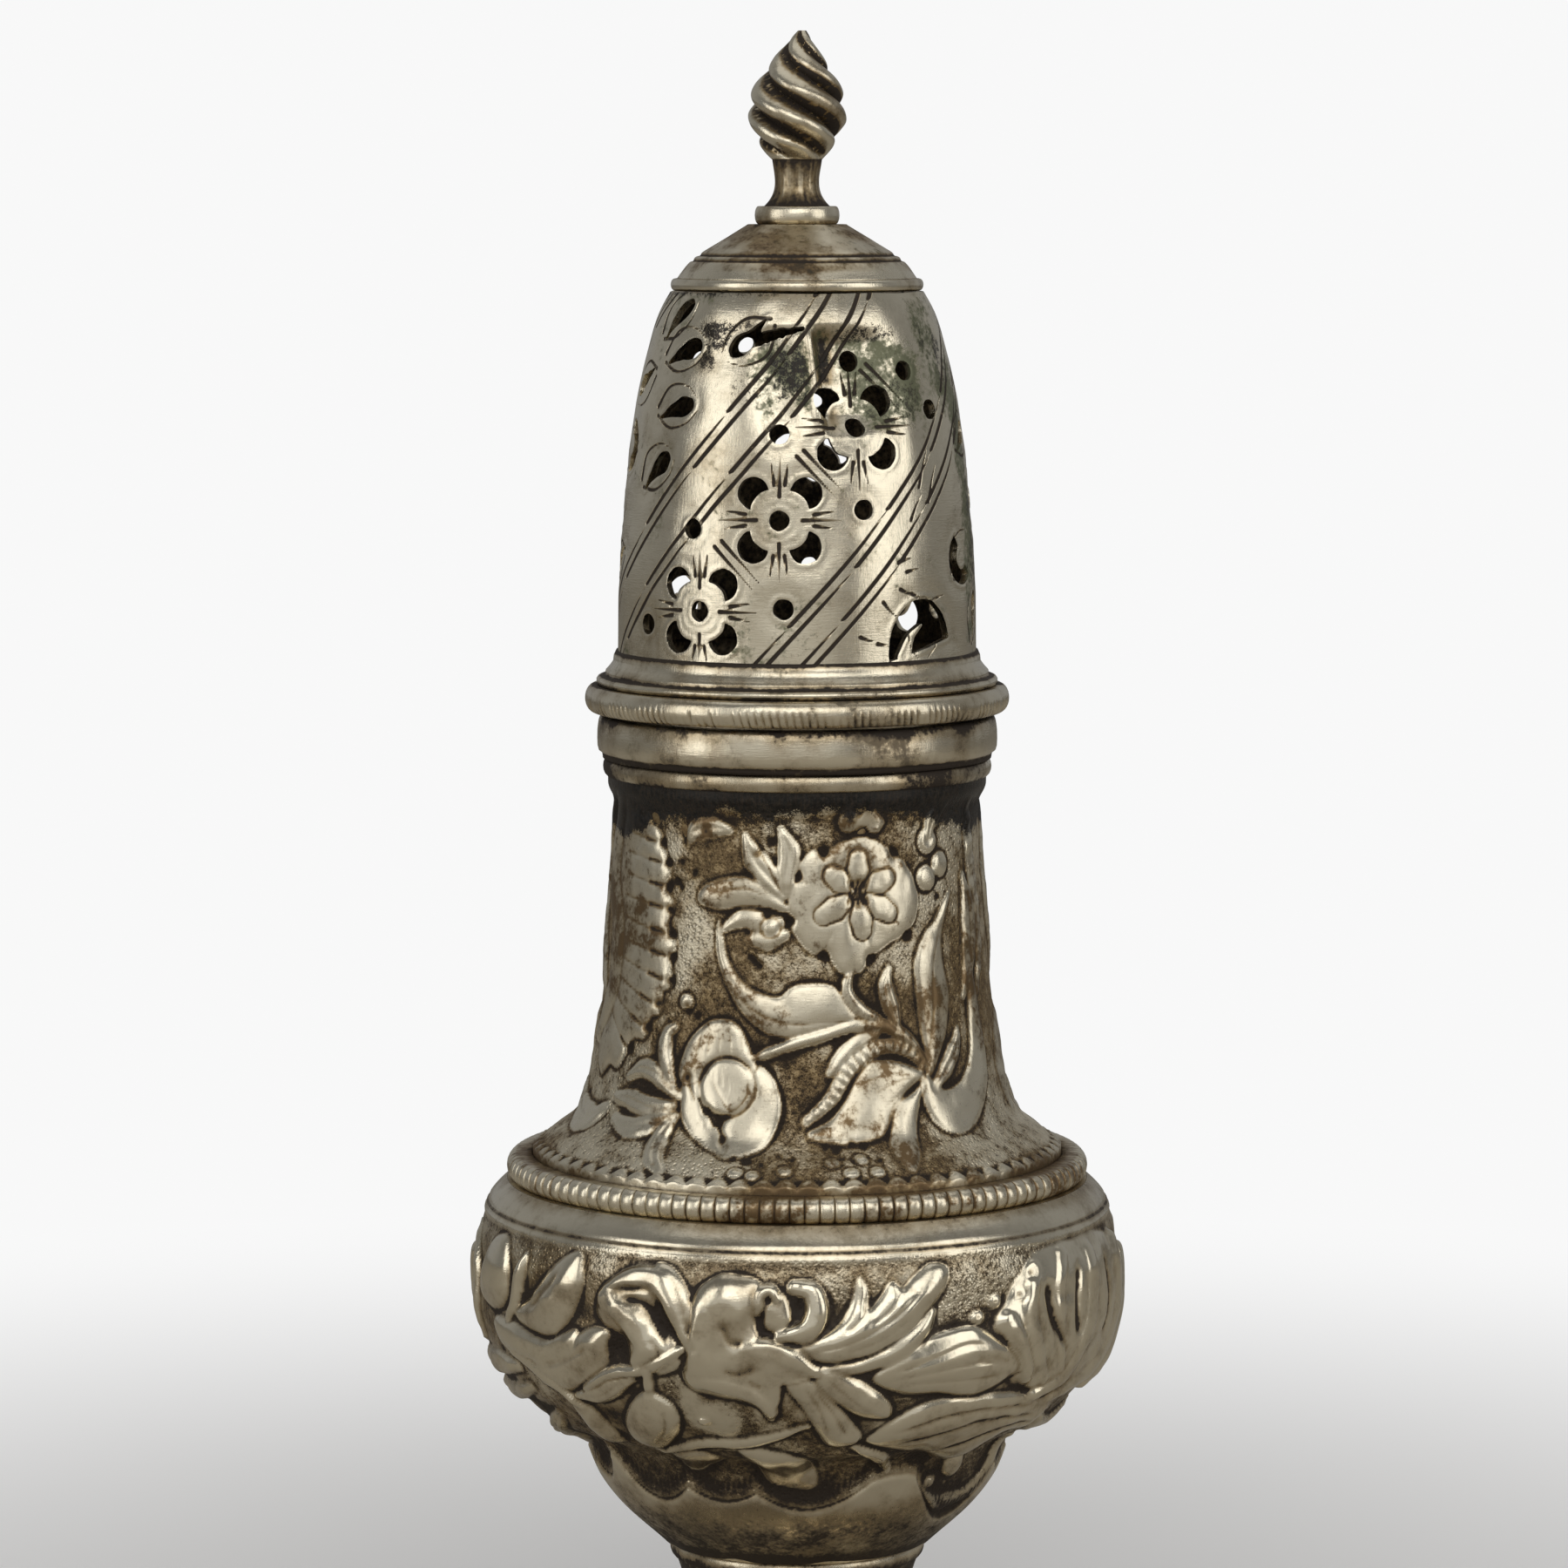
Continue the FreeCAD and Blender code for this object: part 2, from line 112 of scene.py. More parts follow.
# Outlines: (share from the narrow radius to the wide one, share of the height)
FOOT_SHARES = (
    (1.000, 0.00), (1.000, 0.09), (0.88, 0.19), (0.64, 0.26), (0.37, 0.34),
    (0.165, 0.46), (0.03, 0.62), (0.000, 0.76), (0.035, 0.9), (0.085, 1.00),
)
BOWL_SHARES = (
    (0.000, 0.000), (0.045, 0.022), (0.24, 0.119), (0.375, 0.232), (0.45, 0.297),
    (0.64, 0.342), (0.765, 0.398), (0.872, 0.468), (0.972, 0.595), (1.000, 0.68),
    (0.972, 0.8), (0.935, 0.885), (0.88, 0.952), (0.79, 1.000),
)
NECK_SHARES = (
    (0.985, 0.00), (0.75, 0.06), (0.51, 0.11), (0.345, 0.21), (0.21, 0.38),
    (0.135, 0.55), (0.08, 0.72), (0.03, 0.88), (0.000, 1.00),
)
DOME_SHARES = (
    (1.000, 0.000), (0.989, 0.113), (0.966, 0.237), (0.891, 0.373), (0.823, 0.5),
    (0.723, 0.623), (0.589, 0.727), (0.386, 0.847), (0.18, 0.95), (0.000, 1.000),
)
CAP_SHARES = ((1.000, 0.00), (0.8, 0.33), (0.55, 0.56), (0.3, 0.76), (0.000, 1.00))
FLAME_SHARES = (
    (0.5, 0.00), (0.62, 0.05), (0.81, 0.14), (0.92, 0.24), (1.00, 0.36), (0.96, 0.48),
    (0.79, 0.61), (0.53, 0.75), (0.26, 0.88), (0.09, 0.96), (0.00, 1.00),
)


# Curves and fields

def cubic(at, values, where):
    """Natural cubic spline: piecewise cubics through the values, with equal slopes and
    equal curvatures where they meet and no curvature at the two ends."""
    at = np.asarray(at, float)
    values = np.asarray(values, float)
    gap = np.diff(at)
    count = len(at)
    system = np.eye(count)
    right = np.zeros(count)
    inside = np.arange(1, count - 1)
    system[inside, inside - 1] = gap[:-1]
    system[inside, inside] = 2 * (gap[:-1] + gap[1:])
    system[inside, inside + 1] = gap[1:]
    slope = np.diff(values) / gap
    right[1:-1] = 6 * np.diff(slope)
    bend = np.linalg.solve(system, right)
    part = np.clip(np.searchsorted(at, where) - 1, 0, count - 2)
    before = where - at[part]
    after = at[part + 1] - where
    width = gap[part]
    level = (bend[part] * after ** 3 + bend[part + 1] * before ** 3) / (6 * width)
    level += (values[part] / width - bend[part] * width / 6) * after
    return level + (values[part + 1] / width - bend[part + 1] * width / 6) * before


def placed(shares, narrow, wide, base, rise):
    """Points (radius, height) from an outline's shares."""
    return [(narrow + out * (wide - narrow), base + up * rise) for out, up in shares]


class Outline:
    """A turned wall's outline: a smooth curve through points (radius, height), then
    straight runs through the points of `then`, measured by its own length. `first` is a
    point that a straight run starts from."""

    def __init__(self, points, then=(), first=None):
        points = np.array(points, float)
        steps = np.hypot(*np.diff(points, axis=0).T)
        walk = np.concatenate([[0.0], np.cumsum(steps)])
        fine = np.linspace(0, walk[-1], 1200)
        radius = cubic(walk, points[:, 0], fine)
        height = cubic(walk, points[:, 1], fine)
        if first is not None:
            share = np.linspace(0, 1, 60)[:-1]
            radius = np.concatenate([first[0] + share * (radius[0] - first[0]), radius])
            height = np.concatenate([first[1] + share * (height[0] - first[1]), height])
        for one in then:
            share = np.linspace(0, 1, 120)[1:]
            radius = np.concatenate([radius, radius[-1] + share * (one[0] - radius[-1])])
            height = np.concatenate([height, height[-1] + share * (one[1] - height[-1])])
        self.length = np.concatenate([[0.0], np.cumsum(np.hypot(np.diff(radius), np.diff(height)))])
        self.radius = radius
        self.height = height
        along_radius = np.gradient(radius, self.length)
        along_height = np.gradient(height, self.length)
        size = np.hypot(along_radius, along_height)
        self.out = along_height / size
        self.up = -along_radius / size

    def walk(self, height):
        """Length along the outline where it reaches this height, for one that only rises."""
        return np.interp(height, self.height, self.length)

    def at(self, walk):
        return np.interp(walk, self.length, self.radius), np.interp(walk, self.length, self.height)

    def place(self, turn, walk, proud=0.0):
        """Points at angle `turn` and length `walk`, moved out by `proud` along the normal."""
        radius = np.interp(walk, self.length, self.radius) + proud * np.interp(walk, self.length, self.out)
        height = np.interp(walk, self.length, self.height) + proud * np.interp(walk, self.length, self.up)
        angle = np.radians(turn)
        return np.stack(np.broadcast_arrays(radius * np.sin(angle), -radius * np.cos(angle), height), axis=-1)


def blurred(field, reach):
    """Box average over (2 reach + 1) cells both ways, taken twice, so nearly a bell. The
    columns wrap and the end rows are held."""
    span = 2 * reach + 1
    for axis, mode in ((0, "edge"), (1, "wrap")) * 2:
        pad = np.zeros((2, 2), int)
        pad[axis] = reach
        total = np.cumsum(np.pad(field, pad, mode=mode), axis=axis)
        total = np.insert(total, 0, 0.0, axis=axis).swapaxes(0, axis)
        field = ((total[span:] - total[:-span]) / span).swapaxes(0, axis)
    return field


def eased(value, low, high):
    """0 below low, 1 above high, and 3t² - 2t³ between them."""
    share = np.clip((value - low) / (high - low), 0, 1)
    return share * share * (3 - 2 * share)


def mottled(shape, cells, seed):
    """Smooth random field from 0 to 1: a seeded grid of (rows, columns) numbers read
    with eased mixing between neighbours; its columns wrap."""
    picks = np.random.default_rng(seed).random(cells)
    row = np.linspace(0, cells[0] - 1.001, shape[0])
    column = np.linspace(0, cells[1], shape[1], endpoint=False)
    r0 = row.astype(int)
    c0 = column.astype(int) % cells[1]
    r1 = np.minimum(r0 + 1, cells[0] - 1)
    c1 = (c0 + 1) % cells[1]
    fr = eased(row - r0, 0, 1)[:, None]
    fc = eased(column - column.astype(int), 0, 1)[None, :]
    top = picks[np.ix_(r0, c0)] * (1 - fc) + picks[np.ix_(r0, c1)] * fc
    low = picks[np.ix_(r1, c0)] * (1 - fc) + picks[np.ix_(r1, c1)] * fc
    return top * (1 - fr) + low * fr


def along(x, y, line):
    """For each point (x, y): distance to a line of points, the side of it (+ left of the
    walk) and the share of its length at the nearest place, taken run by run."""
    steps = np.diff(line, axis=0)
    length = np.maximum(np.hypot(steps[:, 0], steps[:, 1]), 1e-9)
    start = np.concatenate([[0.0], np.cumsum(length)])
    best = np.full(x.shape, 1e9)
    side = np.ones(x.shape)
    share = np.zeros(x.shape)
    for k, (dx, dy) in enumerate(steps):
        px = x - line[k, 0]
        py = y - line[k, 1]
        part = np.clip((px * dx + py * dy) / length[k] ** 2, 0, 1)
        away = (px - part * dx) ** 2 + (py - part * dy) ** 2
        near = away < best
        best = np.where(near, away, best)
        share = np.where(near, (start[k] + part * length[k]) / start[-1], share)
        side = np.where(near, np.sign(dx * py - dy * px), side)
    return np.sqrt(best), side, share


def enclosed(x, y, loop):
    """True where a level line from the point crosses the closed loop an odd number of times."""
    odd = np.zeros(x.shape, bool)
    for one, two in zip(loop[:-1], loop[1:]):
        spans = (one[1] > y) != (two[1] > y)
        rise = two[1] - one[1] if abs(two[1] - one[1]) > 1e-9 else 1e-9
        odd ^= spans & (x < one[0] + (y - one[1]) * (two[0] - one[0]) / rise)
    return odd


def bent(points, parts=7, closed=False):
    """Catmull-Rom curve: through the points, with the slope at each one half the step
    between its two neighbours."""
    points = np.array(points, float)
    if closed:
        ring = np.concatenate([points[-1:], points, points[:2]])
    else:
        first = 2 * points[0] - points[1]
        last = 2 * points[-1] - points[-2]
        ring = np.concatenate([[first], points, [last]])
    share = np.linspace(0, 1, parts, endpoint=False)[None, :, None]
    a, b, c, d = ring[:-3, None], ring[1:-2, None], ring[2:-1, None], ring[3:, None]
    line = 0.5 * (2 * b + (c - a) * share + (2 * a - 5 * b + 4 * c - d) * share ** 2
                  + (3 * b - a - 3 * c + d) * share ** 3)
    line = line.reshape(-1, 2)
    if not closed:
        line = np.concatenate([line, points[-1:]])
    return line


# Meshes

def quads(index, flip=False):
    """Faces between neighbouring rows and columns of a grid of vertex numbers."""
    faces = np.stack([index[:-1, :-1], index[:-1, 1:], index[1:, 1:], index[1:, :-1]], axis=-1)
    faces = faces.reshape(-1, 4)
    return faces[:, ::-1] if flip else faces


def strip(fine, coarse, flip=False):
    """Triangles between a fine row of vertices and a coarse one beside it: each step of
    either row is joined to the vertex of the other that lies nearest to its middle."""
    n = len(fine) - 1
    m = len(coarse) - 1
    mate = np.rint((np.arange(n) + 0.5) * m / n).astype(int)
    turn = np.searchsorted(mate, np.arange(m) + 1)
    first = np.stack([fine[:-1], fine[1:], coarse[mate]], axis=-1)
    second = np.stack([coarse[1:], coarse[:-1], fine[turn]], axis=-1)
    faces = np.concatenate([first, second])
    return faces[:, ::-1] if flip else faces


def put(name, points, faces, node, kind, layers, crisp=None):
    """Writes a mesh from points in millimetres and lists of faces, and sets it on the
    body of the node that it replaces. An edge stays sharp between two points that have
    the same `crisp` number above 0."""
    mesh = bpy.data.meshes.new(name)
    mesh.vertices.add(len(points))
    mesh.vertices.foreach_set("co", (np.asarray(points, float) * MM).ravel().astype(np.float32))
    sizes = np.concatenate([np.full(len(part), part.shape[1]) for part in faces])
    loops = np.concatenate([part.ravel() for part in faces]).astype(np.int32)
    mesh.loops.add(len(loops))
    mesh.loops.foreach_set("vertex_index", loops)
    mesh.polygons.add(len(sizes))
    starts = np.concatenate([[0], np.cumsum(sizes)[:-1]]).astype(np.int32)
    mesh.polygons.foreach_set("loop_start", starts)
    mesh.update(calc_edges=True)
    mesh.polygons.foreach_set("use_smooth", np.ones(len(sizes), bool))
    if crisp is not None:
        pairs = np.zeros(len(mesh.edges) * 2, np.int32)
        mesh.edges.foreach_get("vertices", pairs)
        ends = crisp[pairs.reshape(-1, 2)]
        sharp = mesh.attributes.new("sharp_edge", "BOOLEAN", "EDGE")
        sharp.data.foreach_set("value", (ends[:, 0] == ends[:, 1]) & (ends[:, 0] > 0))
    for layer, values in layers.items():
        mine = mesh.attributes.new(layer, "FLOAT", "POINT")
        mine.data.foreach_set("value", np.ascontiguousarray(values, np.float32).ravel())
    if mesh.validate():
        raise RuntimeError(f"{name}: the mesh had faults")
    mesh.materials.append(finish_of(kind))
    piece = bpy.data.objects.new(name, mesh)
    bpy.context.scene.collection.objects.link(piece)
    body = frame["nodes"][node]["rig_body"]
    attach(piece, body)
    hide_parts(node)
    return piece


def carried(radius, height):
    """Points and faces of a closed section carried round the axis: the radius is a grid
    over the section's points and the turn's angles."""
    rows, columns = radius.shape
    angle = np.radians(np.arange(columns) * 360.0 / columns)[None, :]
    height = np.broadcast_to(height, radius.shape)
    points = np.stack([radius * np.sin(angle), -radius * np.cos(angle), height], axis=-1)
    index = np.arange(rows * columns).reshape(rows, columns)
    index = np.concatenate([index, index[:, :1]], axis=1)
    return points.reshape(-1, 3), quads(np.concatenate([index, index[:1]]))


def turned(name, profile, columns, node, kind, stain):
    """A turned ring: a closed section of points (radius, height) carried round the axis.
    Section points written with a third value stay crisp. `stain` is each one's tarnish."""
    section = np.array([one[:2] for one in profile], float)
    keep = np.array([len(one) > 2 for one in profile])
    rows = len(section)
    points, faces = carried(section[:, :1] * np.ones(columns), section[:, 1:])
    used, faces = merged_poles(section, columns, faces)
    tarnish_and_shade = np.repeat(stain, columns)
    layers = {"tarnish_and_shade": tarnish_and_shade[used], "edge": np.zeros(len(used))}
    crisp = np.repeat(keep * (np.arange(rows) + 1), columns)
    return put(name, points[used], faces, node, kind, layers, crisp[used])


def merged_poles(section, columns, faces):
    """Where a section point lies on the axis, its row becomes one vertex; faces that
    shrink to a line go, and those with one doubled corner become triangles. Gives the
    vertices still in use and the faces numbered by them."""
    number = np.arange(len(section) * columns)
    for row in np.flatnonzero(section[:, 0] < 1e-6):
        number[row * columns:(row + 1) * columns] = row * columns
    faces = number[faces]
    same = faces == np.roll(faces, -1, axis=1)
    doubled = same.sum(axis=1)
    first = np.argmax(same[doubled == 1], axis=1)
    turn_to = (first[:, None] + np.arange(1, 4)) % 4
    triangles = np.take_along_axis(faces[doubled == 1], turn_to, axis=1)
    faces = [part for part in (faces[doubled == 0], triangles) if len(part)]
    used = np.unique(np.concatenate([part.ravel() for part in faces]))
    return used, [np.searchsorted(used, part) for part in faces]


def walled(outer, inner):
    """Closed piece from two open grids of points, rows rising and columns turning right:
    the outer faces out, the coarser inner faces in, and strips join their four edges."""
    rows, columns = outer.shape[:2]
    low, few = inner.shape[:2]
    oi = np.arange(rows * columns).reshape(rows, columns)
    ii = rows * columns + np.arange(low * few).reshape(low, few)
    triangles = [
        strip(oi[0], ii[0], flip=True), strip(oi[-1], ii[-1]),
        strip(oi[:, 0], ii[:, 0]), strip(oi[:, -1], ii[:, -1], flip=True),
    ]
    faces = [quads(oi), quads(ii, flip=True), np.concatenate(triangles)]
    points = np.concatenate([outer.reshape(-1, 3), inner.reshape(-1, 3)])
    crisp = np.zeros(len(points), int)
    for number, grid in enumerate((oi, ii)):
        for edge in (grid[0], grid[-1], grid[:, 0], grid[:, -1]):
            crisp[edge] = number + 1
    return points, faces, crisp


# Chasing

def section_of(form, q, side, share, count):
    """Cross-section of a chased stroke, 0 to 1 high. q runs from 0 on its middle line to
    1 at its edge, `side` is its side and `share` the place along it.
    round: a half ellipse. leaf: two swelling lobes beside a sunk vein, cut by slanting
    side veins. roll: rises from the right edge to a rolled left edge. flute: a round bar
    cut across by grooves. beads: a row of balls."""
    a = np.clip(q, 0, 1)
    bar = np.sqrt(1 - a * a)
    if form == "leaf":
        lobes = 0.52 + 0.48 * np.sin(np.pi * a ** 0.85)
        veins = np.abs(np.cos(np.pi * (count * share - 0.9 * a))) ** 10
        return (lobes - 0.2 * veins * np.sin(np.pi * a)) * (1 - 0.45 * a ** 4)
    if form == "roll":
        across = 0.5 + 0.5 * a * side
        veins = np.abs(np.cos(np.pi * (count * share + 0.35 * a * side))) ** 12
        edge = np.sqrt(np.clip(1 - a ** 6, 0, 1))
        return (0.22 + 0.78 * across ** 1.6) * edge - 0.12 * veins * (1 - across)
    if form == "flute":
        return bar * (0.72 + 0.28 * np.cos(2 * np.pi * (count * share + 0.2 * a * side)))
    if form == "beads":
        return bar * np.sqrt(np.abs(np.sin(np.pi * count * share)))
    return bar


class Relief:
    """Chasing over half a turn of a wall, repeated on its other half: the height of the
    metal above its sunk ground, on a grid of angles and lengths along the outline. Points
    are written one after another as angle, height."""

    def __init__(self, outline, low, high, columns, rows):
        self.outline = outline
        self.turn = np.arange(columns) * HALF_TURN / columns - 90
        self.run = np.linspace(outline.walk(low), outline.walk(high), rows)
        self.radius, self.level = outline.at(self.run)
        self.height = np.zeros((rows, columns))
        self.soft = 0.2
        self.trace = 0.03
        self.ink = np.zeros((rows, columns))
        self.cell = (self.run[-1] - self.run[0]) / (rows - 1)

    def tools(self):
        """The tools, called with their numbers in this order. stroke: form, half widths,
        rise, points, base. rod: the same without a form. sheet: points, rise, base,
        swell, soft, trace. cut: points, width, depth, ink. pit: centre, radius, depth,
        ink. ball: centre, radius, rise, base."""
        return self.stroke, self.rod, self.sheet, self.cut, self.pit, self.ball

    def window(self, points, reach):
        """The part of the grid round some points, laid flat about their middle: its cells,
        its x and y, and the points in the same flat measure."""
        points = np.array(points, float).reshape(-1, 2)
        middle = 0.5 * (points[:, 0].min() + points[:, 0].max())
        radius = np.interp(points[:, 1], self.level, self.radius)
        walk = np.interp(points[:, 1], self.level, self.run)
        line = np.stack([np.radians(points[:, 0] - middle) * radius, walk], axis=-1)
        turned_by = (self.turn - middle + 90) % 180 - 90
        half = np.ptp(points[:, 0]) / 2 + np.degrees(reach / radius.min())
        columns = np.flatnonzero(np.abs(turned_by) <= half)
        rows = np.flatnonzero((self.run >= walk.min() - reach) & (self.run <= walk.max() + reach))
        x = np.radians(turned_by[columns])[None, :] * self.radius[rows][:, None]
        y = np.broadcast_to(self.run[rows][:, None], x.shape)
        return np.ix_(rows, columns), x, y, line

    def near(self, points, reach):
        """Cells round a smooth line, and their distance, side and share along it."""
        cells, x, y, line = self.window(points, reach)
        return cells, *along(x, y, bent(line) if len(line) > 2 else line)

    def lay(self, cells, outward, soft, top, trace):
        """Covers what lies below by `top` inside a form, where the distance past its edge
        is below 0, and runs a traced groove round it."""
        cover = eased(-outward, -soft, soft)
        groove = trace * np.exp(-((outward - soft - 0.02) / 0.15) ** 2) * (1 - cover)
        self.height[cells] = self.height[cells] * (1 - cover) + top * cover - groove
        self.ink[cells] = np.maximum(self.ink[cells] * (1 - 0.8 * cover), 9.0 * groove)

    def sink(self, cells, dip, depth, ink):
        self.height[cells] -= depth * dip
        self.ink[cells] = np.maximum(self.ink[cells], ink * dip)

    def stroke(self, form, widths, rise, points, base=0.1, count=6, trace=None, blunt=False, soft=None):
        """Lays a form along a smooth line: `widths` are its half widths from end to end,
        `rise` its height, `base` how far its edge stands off the ground, `count` the
        number of its veins, grooves or beads."""
        soft = self.soft if soft is None else soft
        trace = self.trace if trace is None else trace
        widths = np.atleast_1d(np.array(widths, float))
        cells, away, side, share = self.near(points, widths.max() + 1.2)
        half = np.interp(share, np.linspace(0, 1, len(widths)), widths)
        q = away / np.maximum(half, 0.05)
        ends = 1.0 if blunt else np.clip(np.minimum(share, 1 - share) / 0.1, 0.35, 1) ** 0.5
        top = base + (rise - base) * ends * section_of(form, q, side, share, count)
        self.lay(cells, away - half, soft, top, trace)

    def sheet(self, points, rise, base=0.1, swell=1.0, soft=0.24, trace=0.03):
        """Raises the inside of a closed smooth outline: from `base` at its edge towards
        `rise`, by 1 - exp(-distance / swell)."""
        cells, x, y, line = self.window(points, 1.5)
        loop = bent(line, closed=True)
        loop = np.concatenate([loop, loop[:1]])
        away, _, _ = along(x, y, loop)
        outward = np.where(enclosed(x, y, loop), -away, away)
        top = base + (rise - base) * (1 - np.exp(-np.maximum(-outward, 0) / swell))
        self.lay(cells, outward, soft, top, trace)

    def rod(self, widths, rise, points, base=0.1, **more):
        self.stroke("round", widths, rise, points, base, **more)

    def ball(self, centre, radius, rise, base=0.1, trace=None):
        self.rod(radius, rise, (centre, (centre[0] + 0.3, centre[1])), base, trace=trace, blunt=True)

    def pit(self, centre, radius, depth=0.35, ink=1.0):
        """A punched dimple: a bell-shaped hollow, dark inside."""
        cells, x, y, line = self.window((centre, (centre[0] + 0.1, centre[1])), radius * 3 + 0.5)
        away = np.hypot(x - line[0, 0], y - line[0, 1])
        self.sink(cells, np.exp(-(away / radius) ** 2), depth, ink)

    def cut(self, points, width=0.13, depth=0.12, ink=0.8):
        """An engraved line: a bell-shaped groove along a smooth line."""
        cells, away, _, share = self.near(points, 1.0)
        ends = np.clip(np.minimum(share, 1 - share) / 0.15, 0.2, 1)
        self.sink(cells, np.exp(-(away / width) ** 2) * ends, depth, ink)


def chase_neck(relief):
    """The neck's scrollwork: a fluted shell at the left, a large open blossom at the
    right, leaves and curls between them and a bud over the girdle."""
    stroke, rod, sheet, cut, pit, ball = relief.tools()
    # Shell: a plate with a scalloped, pitted edge, flutes cut in it, and a smooth band beside it
    edge = (-66, 83.6, -60, 82.6, -53, 81.6, -47.5, 80.2, -45.5, 78.8, -42.5, 77.2, -43.6, 75.6,
        -40.6, 74.4, -42.4, 72.8, -39, 71.2, -40.6, 69.6, -39.6, 68, -43, 67.2, -43.6, 65.6, -47.6, 65,
        -49, 63.4, -55, 63, -60, 60.6, -66, 60.6, -72, 59.6, -78, 62.2, -68, 67, -67, 72.2, -72, 75.6,
        -71, 79.5)
    sheet(edge, 0.58, 0.26, 0.7, 0.24, 0.06)
    for start, tip in (((-64, 81.8), (-52, 81.2)), ((-65, 80.2), (-48, 79.4)), ((-65, 78.4), (-45, 77.8)),
            ((-65, 76.6), (-44, 75.9)), ((-65, 74.8), (-43.4, 74.1)), ((-64, 73), (-42, 72)), ((-64, 71.2),
            (-41.4, 70.2)), ((-64, 69.6), (-42, 68.2)), ((-65, 68), (-46, 66.2)), ((-66, 66.4), (-50, 64.2)),
            ((-68, 65), (-57, 62.2))):
        cut((start, tip), 0.13, 0.12, 0.4)
        middle = (0.35 * start[0] + 0.65 * tip[0], 0.35 * start[1] + 0.65 * tip[1])
        cut((middle, tip), 0.22, 0.2)
        pit((tip[0] + 1.6, tip[1]), 0.42, 0.36)
    rod((0.8, 1.4, 1.7, 1.5, 1.4, 0.9), 0.7, (-66, 83.6, -73, 79.3, -74, 75.6, -69, 72.2,
        -69, 67, -79, 62.6), 0.25, blunt=True)
    # Right side: tall leaf, curls and a fluted band
    stroke("flute", (0.6, 1, 1.1, 0.8, 0.4), 0.58, (66, 82.4, 68, 78.5, 69, 74.2, 70, 70, 67, 66.6),
        count=9)
    stroke("leaf", (0.4, 1.2, 1.3, 0.3), 0.58, (58, 66.5, 62, 69.2, 64, 72.4, 62, 76.4), count=4)
    sheet((37, 61, 36.4, 58.4, 42, 56.2, 52, 56.2, 62, 58, 67, 61, 66, 65.6, 62, 70, 59.6, 71, 60, 66,
        58, 62, 52, 59.8, 45, 59.2, 41, 60), 0.7, 0.3, 0.7)
    stroke("leaf", (0.4, 0.8, 0.8, 0.2), 0.62, (40.6, 59.6, 46, 61, 51, 62.6, 53, 64), count=0)
    sheet((54, 75.4, 46, 73, 41.6, 72, 37.6, 70.1, 37.4, 67.4, 38.4, 63.6, 39.6, 60.6, 43, 61.6,
        47.4, 63.8, 50, 66.6, 48, 70, 49, 72.4), 0.72, 0.3, 0.8)
    cut((40, 62.6, 42.6, 66, 43.4, 69.6, 48, 73), 0.12, 0.1, 0.5)
    # Long curved leaf under the blossom, its stem and the leaves that fork from it
    sheet((-24, 73.4, -21, 70.4, -16, 68.4, -10, 67.5, -5, 67.3, 0, 68.3, 9, 68.3, 16, 67, 22, 65.9,
        27, 65.1, 22, 64.4, 14, 64.4, 8, 64.2, 0, 63.9, -9, 64.6, -16, 66.2, -21, 68.4, -24, 70.8), 0.7,
        0.3, 0.9, 0.24, 0.05)
    cut((-20, 68.2, -12, 66.2, -2, 65.2, 10, 65.4, 19, 65.2), 0.12, 0.1, 0.5)
    rod((0.3, 0.5, 0.5, 0.6, 0.6, 0.5), 0.66, (-12, 62.4, -2, 63.5, 9, 64.4, 18, 65, 27, 64.7,
        34, 63.2, 39, 61))
    rod((0.3, 0.55, 0.6, 0.4), 0.66, (16, 69.6, 14.6, 67.8, 18.6, 66.2, 24, 65.4))
    stroke("leaf", (0.3, 0.8, 0.7, 0.3), 0.6, (30, 64.6, 28, 66.4, 26.6, 68.2, 28, 69.4), count=0)
    sheet((8, 61.2, 12, 63.2, 18, 64.4, 25, 64.4, 21, 63.2, 16, 62.2, 11, 61), 0.62, 0.25, 0.6)
    stroke("beads", (0.35, 0.6, 0.75, 0.7, 0.55, 0.35), 0.6, (2, 57.4, 9, 59.1, 15, 61.6, 25, 63.2,
        33, 62.6, 38, 61), count=19)
    sheet((3, 56.5, 9, 57.6, 13, 59, 17, 61, 22, 62.1, 30, 61.8, 37, 60.7, 31, 59.4, 26.6, 57.8, 23, 56.4,
        14, 55.9, 8, 56), 0.76, 0.3, 0.9, 0.24, 0.05)
    for row in range(3):
        cut((16 + 4 * row, 60.2 - 0.9 * row, 25 + 3 * row, 60.9 - 0.6 * row, 35, 60.6), 0.1, 0.07, 0.3)
    sheet((37, 60.2, 33.6, 59.4, 28, 58.6, 25.4, 57.2, 24, 55.2, 26.4, 53.6, 30.6, 55, 33, 57.2), 0.72,
        0.3, 0.7)
